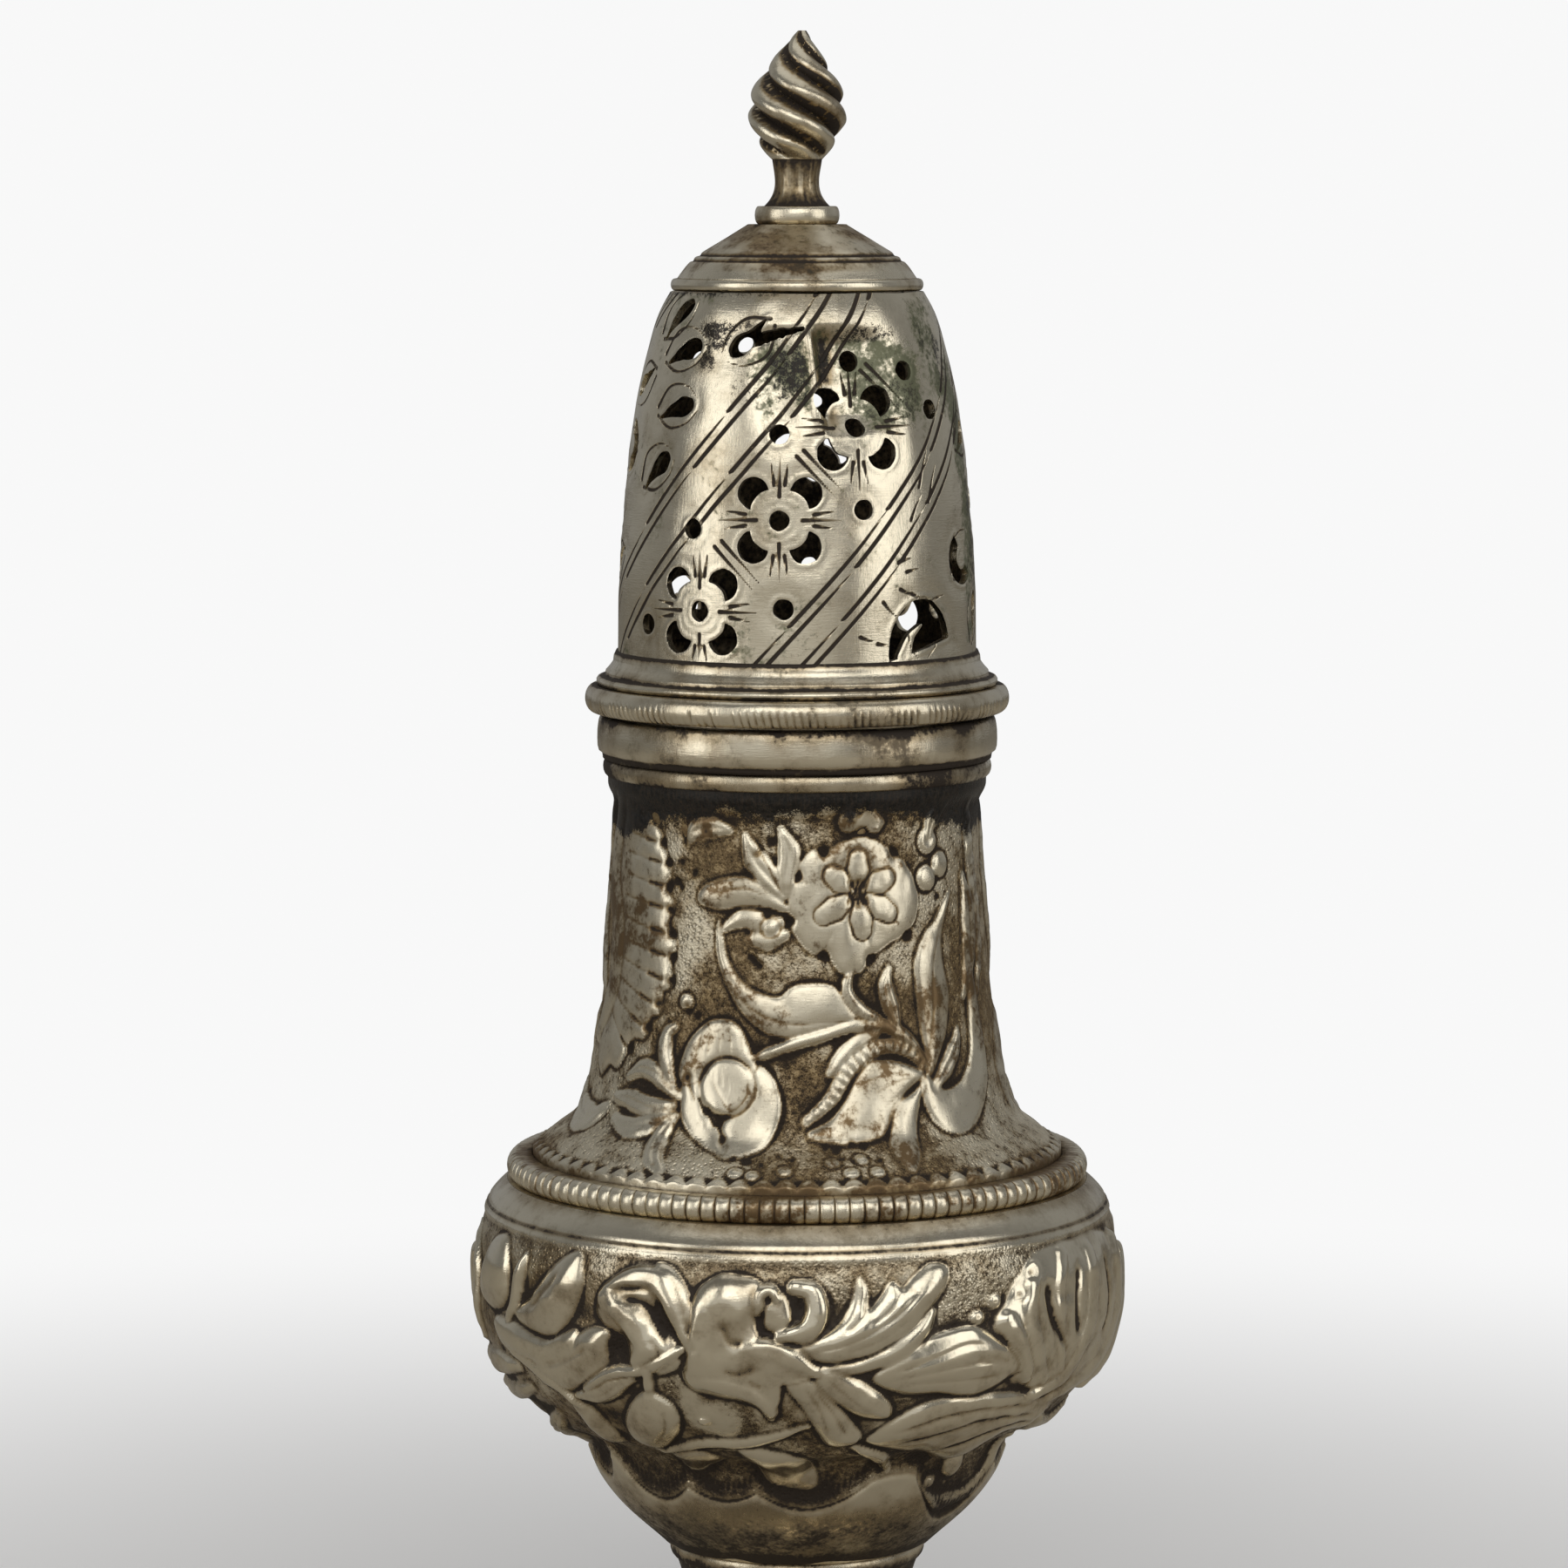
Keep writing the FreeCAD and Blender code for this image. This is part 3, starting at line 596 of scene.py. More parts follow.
    # Blossom: a broad plate with a notched edge, then a small flower with a hatched middle
    edge = (-3, 75.8, -1, 77.2, 1, 78.4, 5, 79.3, 9, 79.2, 14, 79.9, 21, 80.3, 27, 79.6, 31, 78.8,
        36, 77.6, 39, 75.4, 38, 73.4, 34, 72.2, 30, 71.8, 25, 71, 22, 70.5, 18.5, 69.3, 13, 69.3, 9, 70.7,
        4, 71, 0, 72.2, -2.4, 73.6)
    sheet(edge, 0.66, 0.22, 1, 0.2)
    for place in ((0, 77.2), (8, 79.1), (31, 78.9), (-2, 73.6), (8, 70.8), (22, 70.4), (35, 72)):
        pit(place, 0.46, 0.45)
    for place, inward in (((8, 71.2), (10.4, 72.6)), ((22, 70.9), (21, 72.4)), ((0, 77), (3.4, 76.6)),
            ((33, 72.6), (30, 73.4))):
        cut((place, inward), 0.1, 0.08, 0.4)
    for place in ((12.4, 76.9), (18.6, 77.9), (25.6, 76.6), (25.8, 74.4), (19.2, 73.4), (10.2, 74.4)):
        inner = (18.4 + 0.45 * (place[0] - 18.4), 75.7 + 0.45 * (place[1] - 75.7))
        outer = (18.4 + 1.3 * (place[0] - 18.4), 75.7 + 1.3 * (place[1] - 75.7))
        rod((0.45, 0.84, 0.62), 0.74, (inner, outer), 0.58, trace=0.12)
    for place in ((16.6, 76.4), (20.4, 76.3), (16.4, 75.2), (20.6, 75.1), (18.4, 74.8), (18.4, 76.7),
            (18.4, 75.7)):
        pit(place, 0.36, 0.2)
    for step in (-2.4, -0.8, 0.8, 2.4):
        cut((18.4 + step - 1.2, 74.6, 18.4 + step + 1.2, 77), 0.11, 0.16, 1)
        cut((18.4 + step + 1.2, 74.6, 18.4 + step - 1.2, 77), 0.11, 0.16)
    # Leaves that spread to the blossom's left
    sheet((-31, 75, -29, 76.2, -20, 77, -11, 76.8, -5, 75.4, -3, 74.4, -10, 74.6, -18, 74.6, -25, 74.4),
        0.66, 0.25, 0.7, 0.24, 0.05)
    cut((-26, 75.6, -16, 76.2, -8, 75.4), 0.11, 0.1, 0.5)
    sheet((-23, 72.6, -18, 74.3, -11, 74.4, -4, 73.6, -6, 72.6, -12, 71.6, -15, 73), 0.6, 0.2, 0.6, 0.24,
        0.05)
    stroke("leaf", (0.4, 1, 1, 0.25), 0.6, (-4, 75.6, -8, 77, -13, 78.6, -16, 80.4), count=0)
    stroke("leaf", (0.4, 0.9, 0.9, 0.25), 0.58, (-3, 76, -3, 77.6, -2.4, 79.2, -5, 81), count=0)
    cut((-4, 75.6, -7.6, 77.4, -12, 79.6), 0.13, 0.14)
    rod((0.4, 0.9, 0.5), 0.5, (-14, 72, -9, 72, -4, 72.4))
    # Small forms along the top and on the ground
    for place, half, tall in (((16, 81.6), 0.9, 0.6), ((24, 81.4), 0.8, 0.62), ((43, 76.6), 1, 0.58),
            ((49, 77.6), 1, 0.58), ((44, 79.6), 1, 0.56), ((-34, 66.6), 0.6, 0.5), ((-8, 73), 0.6, 0.6)):
        ball(place, half, tall, 0.2, 0.08)
    stroke("leaf", (0.3, 0.9, 0.3), 0.5, (44, 79.6, 46, 81.2, 52, 82.6), count=0)
    rod((0.3, 0.8, 0.3), 0.48, (19, 81, 22, 81.8, 27, 81.4))
    stroke("leaf", (0.3, 0.9, 0.9, 0.3), 0.46, (-36, 79.6, -33, 80.6, -27, 81, -21, 80.8), count=0)
    for place in ((-30, 65.6), (-33.4, 66.4), (-38, 78), (-33, 77.2), (-29, 80.6), (-12, 79), (-33, 65.9),
            (-2, 73.6), (20, 80.9), (-9, 74), (48, 75), (-40, 76.4), (-8, 80)):
        pit(place, 0.36, 0.25)
    # Bud over the girdle: side petal, hatched underside, cap petal and round heart
    sheet((-14, 62, -8, 61.3, -4.4, 59, -6, 56.6, -11, 55.2, -19, 55, -20, 57, -14, 59), 0.74, 0.3, 0.9,
        0.24, 0.06)
    sheet((-33, 60.6, -26, 61, -22, 57.6, -18, 55.2, -25, 55.8, -32, 57.4), 0.5, 0.2, 0.8, 0.24, 0.05)
    for step in range(4):
        cut((-31 + 3.2 * step, 60.2 - step, -28 + 3.2 * step, 58.6 - 0.9 * step), 0.17, 0.2, 0.9)
    sheet((-34, 60.4, -34, 62, -31, 63.8, -25, 65.2, -18, 65.1, -13.6, 63.3, -12, 61.6, -18, 62.2,
        -24, 61.8, -29, 60.4), 0.74, 0.35, 0.8, 0.24, 0.06)
    for step in range(5):
        cut((-29 + 3.4 * step, 62.2 + 0.1 * step, -28 + 3 * step, 64.2), 0.11, 0.07, 0.25)
    ball((-19.4, 60), 2.25, 0.82, 0.56, 0.07)
    for step in range(4):
        cut((-23 + 2 * step, 61.4 - 0.2 * step, -22.4 + 2 * step, 60.2 - 0.3 * step), 0.12, 0.07, 0.3)
    cut((-24.6, 61, -18, 58.2, -13.4, 59.4, -13.6, 61), 0.12, 0.12, 0.7)
    for place in ((-31.6, 60.6), (-24.4, 58), (-19, 56)):
        pit(place, 0.42, 0.3, 0.9)
    # Leaves round the bud and along the foot
    stroke("leaf", (0.4, 0.9, 0.8, 0.3), 0.62, (-34, 59, -41, 60.4, -48, 60.8, -54, 60), count=0)
    stroke("leaf", (0.4, 0.9, 0.9, 0.4), 0.6, (-35, 58.2, -43, 57.8, -51, 58.2, -58, 58.2), count=0)
    stroke("leaf", (0.4, 0.9, 0.8, 0.3), 0.58, (-34, 57.4, -42, 56.6, -49, 56.2, -57, 56.6), count=0)
    stroke("leaf", (0.4, 1, 0.9, 0.5), 0.6, (-35, 57, -37, 55.6, -35, 54.4, -32, 53.6), count=0)
    rod((0.3, 0.8, 0.8, 0.3), 0.58, (-36, 60, -40, 62, -40, 63.8, -37, 64.6))
    pit((-34, 53.9), 0.34, 0.25, 0.9)
    for place in ((-14, 53.8), (-10, 53.6), (-3, 54), (8, 54.6), (12, 53.8), (15, 54.8), (18, 53.8)):
        ball(place, 0.5, 0.46, 0.15, 0.08)
        pit((place[0] + 1.7, place[1] + 0.9), 0.34, 0.22)
        pit((place[0] - 1.2, place[1] + 1.1), 0.26, 0.16, 0.9)
    for start, tip in (((-37, 75.6), (-40, 76.6)), ((-36, 79.2), (-38, 81)), ((-15, 70.8), (-10, 69.6))):
        cut((start, tip), 0.3, 0.26, 1)
    stroke("leaf", (0.4, 1.3, 1.2, 0.3), 0.6, (-62, 57.2, -70, 56, -80, 56.4, -88, 58.4), count=5)
    stroke("roll", (0.4, 1.2, 1.3, 0.4), 0.62, (-86, 64.6, -94, 62.6, -100, 59.6, -98, 56.6), count=5)
    stroke("leaf", (0.3, 1.1, 1.2, 0.3), 0.6, (-79, 66, -86, 69.8, -92, 73, -96, 76.6), count=5)
    rod((0.3, 0.8, 0.8, 0.3), 0.56, (-80, 82.4, -86, 80, -90, 77.4, -86, 74.6))


def chase_bowl(relief):
    """The bowl's bold flowers and shellwork: a bellflower in the middle, a spread
    acanthus leaf and shell flutes at the right, curled leaves and a bud at the left."""
    stroke, rod, sheet, cut, pit, ball = relief.tools()
    relief.soft = 0.3
    relief.trace = 0.02
    # Low leaves over the scalloped border
    sheet((-12, 30.2, -7, 30.5, 1, 29.4, 5, 27.7, 4, 26.5, -3, 26.6, -9, 27.6), 0.8, 0.15, 0.9)
    sheet((-27, 29.9, -20, 29.9, -17, 28.9, -25, 27.7, -31, 28.1), 0.62, 0.1, 0.8)
    sheet((-47, 33.6, -42, 33.4, -39.6, 31.2, -39.4, 29.9, -46, 29.9, -47, 31.6), 0.76, 0.15, 0.8)
    rod((0.3, 0.6, 0.6, 0.3), 0.55, (-32, 29.6, -20, 30.8, -8, 31.4, 2, 33))
    stroke("leaf", (0.4, 1.3, 1.4, 0.5), 0.74, (-56, 31.6, -64, 29.6, -73, 28.4, -83, 28.6), count=4)
    rod((0.4, 0.8, 0.8, 0.3), 0.64, (12, 30.6, 17, 29.6, 21, 28.6, 24, 27.9))
    # Ribbon of three ridges that runs out to the right, and the curl and ball below it
    sheet((14, 31.4, 19, 33.7, 26, 35.1, 36, 35.1, 47, 34.4, 56, 33.4, 56, 31, 45, 30.6, 40, 29.2,
        36, 28.3, 28, 29.7, 20, 30.5), 0.84, 0.3, 0.7)
    for path in (((17, 32.4), (27, 33.7), (36, 34), (50, 33.4)), ((18, 31.2), (28, 32.3), (37, 33),
            (52, 32.5)), ((28, 30.2), (35, 31.1), (42, 31.9), (54, 31.8))):
        cut(path, 0.22, 0.24, 0.7)
    rod((0.5, 0.8, 0.9, 0.9, 0.8, 0.5), 0.74, (31, 26.6, 37, 24.9, 47, 24, 58, 24.3, 66, 26.2,
        63, 28.8))
    ball((46, 27.4), 1.15, 0.9)
    ball((39, 26.2), 0.55, 0.6)
    stroke("roll", (0.5, 1.4, 1.5, 0.6), 0.74, (58, 31.2, 65, 29.6, 73, 29.4, 82, 30.6), count=4)
    # Shell at the right: a swelling plate, bands that sweep up it and hollows between
    sheet((42, 36, 40, 38.6, 36.5, 41.2, 39, 43.4, 43, 45.4, 48, 46.6, 58, 47, 72, 46.6, 84, 43, 82, 38,
        72, 34, 54, 34), 0.8, 0.25, 1.6, 0.4)
    rod((0.6, 0.9, 1.1, 1.1, 0.9), 1, (48, 34.4, 56, 35.6, 60, 38.3, 62, 41.3, 62.5, 45.6),
        0.55, blunt=True)
    rod((0.6, 1, 1.2, 1.2, 1), 1, (54, 33.8, 66, 34.8, 73, 37.4, 76.5, 41, 76, 45.4), 0.55,
        blunt=True)
    rod((0.6, 1.1, 1.2, 1), 0.96, (68, 33.6, 79, 35.6, 86, 39, 90, 43.4), 0.45, blunt=True)
    rod((0.5, 0.9, 1, 0.8), 0.96, (45, 36, 41.5, 38.9, 39, 41.6), 0.55)
    rod((0.5, 0.8, 0.9, 0.7), 0.96, (49.5, 35.8, 45.5, 38.8, 43.6, 42, 45.5, 45.4), 0.55)
    rod((0.4, 0.7, 0.8, 0.7), 0.98, (54, 36.4, 51.6, 39.8, 51.2, 42.9, 53.5, 46), 0.55)
    for path, much in ((((53.6, 38.2), (49.4, 41.2), (48.2, 44.4)), 0.6), (((57.5, 38.6), (56.8, 41.6),
            (58, 45)), 0.45), (((68, 38), (70, 41), (69, 45.2)), 0.45), (((80, 38.4), (83, 42.4)), 0.45)):
        cut(path, 0.36, much, 1)
    for place in ((36.4, 43.3), (32.6, 42.2), (41.4, 43.6), (44.4, 45.2)):
        ball(place, 0.55, 0.7, 0.3)
        pit(place, 0.34)
    # Fan leaf between the acanthus and the shell
    sheet((13.4, 37.4, 17, 39.2, 21, 40.4, 27, 41.4, 32, 41.4, 36, 40.2, 41, 38.4, 41.6, 37, 38, 35.9,
        33, 35.3, 25, 35.8, 19, 36), 1, 0.35, 1.2, 0.26, 0.05)
    for path, deep in ((((16, 38), (24, 39.2), (30, 40), (35, 39.6)), 0.2), (((16, 37.4), (25, 38.1),
            (32, 38.4), (38, 38)), 0.22), (((18, 37), (26, 37.1), (33, 37), (39, 37.2)), 0.18)):
        cut(path, 0.22, deep, 0.45)
    cut((31, 38.8, 36, 38.6, 40, 37.8), 0.3, 0.16, 0.5)
    # Acanthus sweeping up to the right: its broad blade with two tips, and the lower blade
    sheet((4, 38.7, 11, 39.3, 16, 40.6, 20, 42, 24, 43.4, 23.6, 41.8, 20, 39.8, 15, 38.6, 9, 37.9), 0.9,
        0.3, 0.8, 0.24, 0.05)
    sheet((-1, 40.6, 4, 41.4, 7.4, 42.6, 9.4, 44.2, 10.6, 46.2, 12, 45.2, 12.4, 43.6, 14.4, 44.4,
        16.4, 45.6, 18.4, 45, 21, 46, 24, 46.9, 27, 46.4, 26, 44.8, 23, 43.2, 19, 41.5, 14, 40.1, 9, 39.3,
        3, 39.2), 1, 0.35, 1.1, 0.26, 0.05)
    for path, deep in ((((2, 40), (9, 40.9), (16, 42.6), (22, 44.9)), 0.2), (((11.6, 44.6), (11.2, 43),
            (8, 41.6)), 0.2), (((18, 44.8), (16, 43.4), (12, 42)), 0.16), (((8, 40), (14, 41), (20, 42.8)),
            0.1)):
        cut(path, 0.18, deep, 0.45)
    # Leaves that hang from the middle
    sheet((-3, 38, 1, 38.2, 5, 36.6, 9, 34.2, 12.4, 31.6, 7, 30.9, 4, 32.4, 2, 34.4, -1, 36.4), 0.88, 0.3,
        0.9)
    for path in (((1, 37.4), (4, 35), (6, 32.4)), ((3, 36.8), (7, 34.2), (9.6, 32.2))):
        cut(path, 0.18, 0.2, 0.5)
    sheet((2, 38.9, 7, 38.2, 12, 37, 16.4, 35.2, 17, 33.8, 12, 33.9, 7.6, 35.3, 4, 37), 1.02, 0.4, 0.9,
        0.24, 0.05)
    cut((5, 37.8, 9, 36.2, 13, 34.6), 0.14, 0.12, 0.4)
    # Bellflower: body with its curled lip, the round hood over it and the bright fold to the right
    sheet((-18.6, 42.7, -17.2, 44.9, -13, 46.2, -8, 46.1, -5.6, 45.1, -6.6, 43.3, -6.6, 41.9, -3, 41,
        1, 40, 3.6, 38.2, 0, 37.7, -2.6, 37.2, -3.4, 35.6, -4.6, 33.6, -6.4, 35, -10, 35.6, -14, 35.9,
        -18.4, 36.4, -20, 37.8, -18.6, 39.5, -18.8, 41.1), 0.92, 0.4, 1.5, 0.26, 0.07)
    sheet((-17.8, 42.4, -16.4, 44.6, -12.6, 45.6, -8.4, 45.4, -7.4, 43.8, -9.6, 42.4, -13, 41.8), 1.04,
        0.85, 1.2, 0.5, 0)
    rod((0.8, 1.1, 1.1, 0.8), 1.02, (-15.8, 42.8, -16.6, 41.2, -16.8, 39.2, -17.6, 37.4),
        0.75, soft=0.5, trace=0)
    rod((0.5, 0.8, 0.8, 0.4), 1.02, (-9, 40.4, -4, 40.2, -0.6, 39.4, 2.6, 38.4), 0.8,
        soft=0.35, trace=0)
    rod((0.5, 0.8, 0.7, 0.4), 1, (-18, 37.4, -11, 36.8, -6.6, 35.9, -4.6, 34.4), 0.7,
        soft=0.35, trace=0)
    cut((-12.6, 42.6, -11.4, 41, -8.6, 40.8), 0.42, 0.26, 0.35)
    cut((-13, 38.6, -10, 38.2, -6.6, 38.9), 0.4, 0.26, 0.5)
    cut((-8.4, 37.7, -6, 37), 0.28, 0.2, 0.5)
    # Curl between the bellflower and the acanthus, with its eyes
    rod((0.5, 0.9, 1, 0.9, 0.6), 1, (-3, 41.5, 1.6, 41.9, 3.4, 43.4, 2.4, 45, -0.4, 45.4),
        0.4, soft=0.22, trace=0.06)
    sheet((-5.4, 44.6, -3, 45, -1.4, 44, -1.2, 42.6, -3.4, 41.8, -5.6, 42.4), 0.62, 0.4, 0.6, 0.2)
    rod((0.3, 0.55, 0.5, 0.3), 0.96, (-6.6, 43.4, -6, 44.8, -4.4, 45.2, -3.6, 44.4), 0.4,
        soft=0.2, trace=0.05)
    for place in ((0.4, 44), (-5, 44.3), (-6, 41.6), (-33.6, 41.2)):
        pit(place, 0.36)
    # Curled leaves left of the bellflower: knob, ribbon over it, and the leaf above
    sheet((-25.4, 46.8, -22, 46.5, -18.8, 44.7, -17.8, 42.4, -19.6, 40.4, -21.4, 42.8, -24, 44.8), 0.98,
        0.35, 0.7, 0.24, 0.05)
    sheet((-34.6, 44.8, -29, 44.6, -26, 45.5, -23, 44.9, -25, 43.2, -23.4, 41.6, -20.6, 40.4, -20.6, 38.4,
        -26, 37.4, -29.6, 38.4, -30.6, 40.5, -34.6, 41.3, -37, 42.7), 0.92, 0.3, 1.2, 0.26, 0.06)
    ball((-34.4, 43.6), 0.95, 1, 0.7, 0)
    rod((0.6, 1, 1.2, 1, 0.6), 1, (-33.6, 43.2, -30.4, 42.4, -27.6, 41.2, -26.6, 39.8,
        -28.6, 38.6), 0.7, soft=0.4, trace=0)
    rod((0.3, 0.8, 0.9, 0.7, 0.3), 1.02, (-34.6, 44.5, -30, 45.5, -25, 45.6, -22.4, 44.2,
        -20.6, 42.3, -18.6, 40.2), 0.55, soft=0.24, trace=0.04)
    cut((-31.6, 43.8, -27, 43.6, -24.6, 42.2, -22.4, 40), 0.34, 0.34, 0.9)
    cut((-25.6, 40.8, -24, 39.6, -24.6, 38.4), 0.3, 0.22, 0.6)
    # Lobed leaf round its dark eye, with the thin calyx under it
    sheet((-54, 36.9, -49, 38.2, -44, 39.4, -38, 40.9, -34.4, 41, -34.6, 39.6, -35.2, 37.5, -41, 35.8,
        -47, 34.7, -54, 34.9), 0.92, 0.3, 1, 0.28)
    cut((-50, 36.8, -44, 37.8, -38, 39.4), 0.26, 0.2, 0.4)
    pit((-32.8, 39.2), 0.95, 0.55)
    rod((0.3, 0.5, 0.5, 0.35), 0.98, (-41, 35.4, -34, 37.2, -27, 37.9, -20, 40), 0.5,
        soft=0.18, trace=0.05)
    stroke("leaf", (0.3, 0.8, 0.9, 0.3), 0.78, (-44, 34.4, -38, 35, -34, 36, -30, 36.9), 0.25, count=0,
        soft=0.2)
    # Hanging bud on its stem
    rod((0.35, 0.45, 0.45), 0.9, (-26.6, 37.8, -27, 36.6, -27.2, 35.4), 0.3, soft=0.16,
        trace=0.06, blunt=True)
    sheet((-28, 35.8, -31.6, 34.4, -35, 32.2, -34.4, 30.4, -29, 30.2, -23.6, 31.9, -22.4, 34, -25, 35.4),
        0.96, 0.3, 0.9, 0.2, 0.08)
    cut((-24.4, 34.6, -25.4, 32.6, -29, 31), 0.13, 0.14, 0.6)
    sheet((-22, 36.8, -15, 35.4, -10, 34.6, -9, 32.8, -14, 31.6, -20, 32.6), 0.26, 0.05, 1.2, 0.6, 0)
    ball((-17.6, 33.4), 0.5, 0.7)
    # Leaves at the far left
    sheet((-54, 42.5, -48.6, 45, -42, 47, -40.2, 45.3, -41, 43.1, -43.6, 41, -47.6, 39.6, -55, 39.9,
        -58.6, 41), 1, 0.35, 1.3, 0.26, 0.06)
    cut((-45, 45.4, -48.4, 43.4, -53, 41.6), 0.28, 0.24, 0.5)
    sheet((-68, 39.5, -60, 39.9, -55, 39.5, -49, 39.1, -41.6, 40.6, -42, 38.6, -49, 37.1, -58, 36.5,
        -66, 37.6), 0.92, 0.35, 0.9, 0.26, 0.04)
    rod((0.3, 0.7, 0.7, 0.4), 0.92, (-56, 45.8, -57.4, 43.8, -58.4, 41.8, -61, 40.2), 0.35,
        soft=0.22, trace=0.05)
    rod((0.3, 0.6, 0.6, 0.3), 0.84, (-62, 37.4, -54, 36.2, -48, 34.8, -44, 33.4), 0.3,
        soft=0.22)
    sheet((-73, 44.4, -69, 46.4, -64, 46.6, -61.6, 43.8, -63, 41.2, -70, 40.4, -76, 41.4), 0.98, 0.35,
        1.2, 0.26, 0.06)
    rod((0.5, 1.2, 1.2, 0.6), 0.84, (-62, 35.6, -68, 35.4, -75, 35, -82, 35.2), 0.25)
    stroke("roll", (0.5, 1.4, 1.6, 0.7), 0.9, (-84, 46.4, -82, 43, -82, 39.6, -80, 37), 0.3, count=4)
    rod((0.4, 1, 1, 0.4), 0.76, (-60, 33.8, -66, 33, -74, 32.4, -84, 32.6), 0.2)
    border = bowl_border(np.arange(-88, 90, 1.6))
    for turn, foot in zip(np.arange(-88, 90, 1.6), border):
        cut((turn, foot + 1, turn + 0.3, foot + 1.8), 0.11, 0.1, 0.4)


# Shader maths

class Value:
    """One number socket of a material; an operator on it adds a Math node."""

    def __init__(self, bench, socket):
        self.bench = bench
        self.socket = socket

    def join(self, operation, first, second):
        node = self.bench.add("ShaderNodeMath", {"operation": operation}, {0: first, 1: second})
        return Value(self.bench, node.outputs[0])

    def __add__(self, other):
        return self.join("ADD", self, other)

    def __radd__(self, other):
        return self.join("ADD", other, self)

    def __sub__(self, other):
        return self.join("SUBTRACT", self, other)

    def __rsub__(self, other):
        return self.join("SUBTRACT", other, self)

    def __mul__(self, other):
        return self.join("MULTIPLY", self, other)

    def __rmul__(self, other):
        return self.join("MULTIPLY", other, self)

    def over(self, low, high):
        """0 below low and 1 above high, with a smooth step between them."""
        settings = {"interpolation_type": "SMOOTHSTEP"}
        node = self.bench.add("ShaderNodeMapRange", settings, {0: self, 1: low, 2: high, 3: 0.0, 4: 1.0})
        return Value(self.bench, node.outputs[0])


class Bench:
    """A material's node tree."""

    def __init__(self, tree):
        self.tree = tree
        self.tree.nodes.clear()

    def add(self, kind, settings=None, inputs=None):
        """A node of this type, with its settings and then its sockets' values or links."""
        node = self.tree.nodes.new(kind)
        for key, value in (settings or {}).items():
            setattr(node, key, value)
        for key, value in (inputs or {}).items():
            socket = node.inputs[key]
            source = value.socket if isinstance(value, Value) else value
            if isinstance(source, bpy.types.NodeSocket):
                self.tree.links.new(source, socket)
            else:
                socket.default_value = source
        return node

    def layer(self, name):
        node = self.add("ShaderNodeAttribute", {"attribute_type": "GEOMETRY", "attribute_name": name})
        return Value(self, node.outputs["Fac"])

    def place(self, scale):
        """Object coordinates counted in millimetres and stretched by three scales."""
        coordinates = self.add("ShaderNodeTexCoord")
        settings = {"operation": "MULTIPLY"}
        per_metre = tuple(one / MM for one in scale)
        inputs = {0: coordinates.outputs["Object"], 1: per_metre}
        return self.add("ShaderNodeVectorMath", settings, inputs).outputs[0]

    def cloud(self, scale, detail, rough=0.55, stretch=(1, 1, 1), twist=0.0):
        """Noise between about -0.5 and 0.5."""
        place = self.place(stretch)
        inputs = {"Vector": place, "Scale": scale, "Detail": detail, "Roughness": rough, "Distortion": twist}
        return Value(self, self.add("ShaderNodeTexNoise", {}, inputs).outputs["Fac"]) - 0.5

    def cells(self, scale, feature="F1"):
        inputs = {"Vector": self.place((1, 1, 1)), "Scale": scale, "Randomness": 1.0}
        return Value(self, self.add("ShaderNodeTexVoronoi", {"feature": feature}, inputs).outputs["Distance"])

    def blend(self, share, first, second):
        """The first colour where share is 0, the second where it is 1."""
        node = self.add("ShaderNodeMix", {"data_type": "RGBA"}, {0: share, 6: first, 7: second})
        return node.outputs[2]

    def dent(self, height, distance, normal=None):
        inputs = {"Height": height, "Distance": distance, "Strength": 1.0}
        if normal is not None:
            inputs["Normal"] = normal
        return self.add("ShaderNodeBump", {}, inputs).outputs["Normal"]


LINE_GAP = 0.42


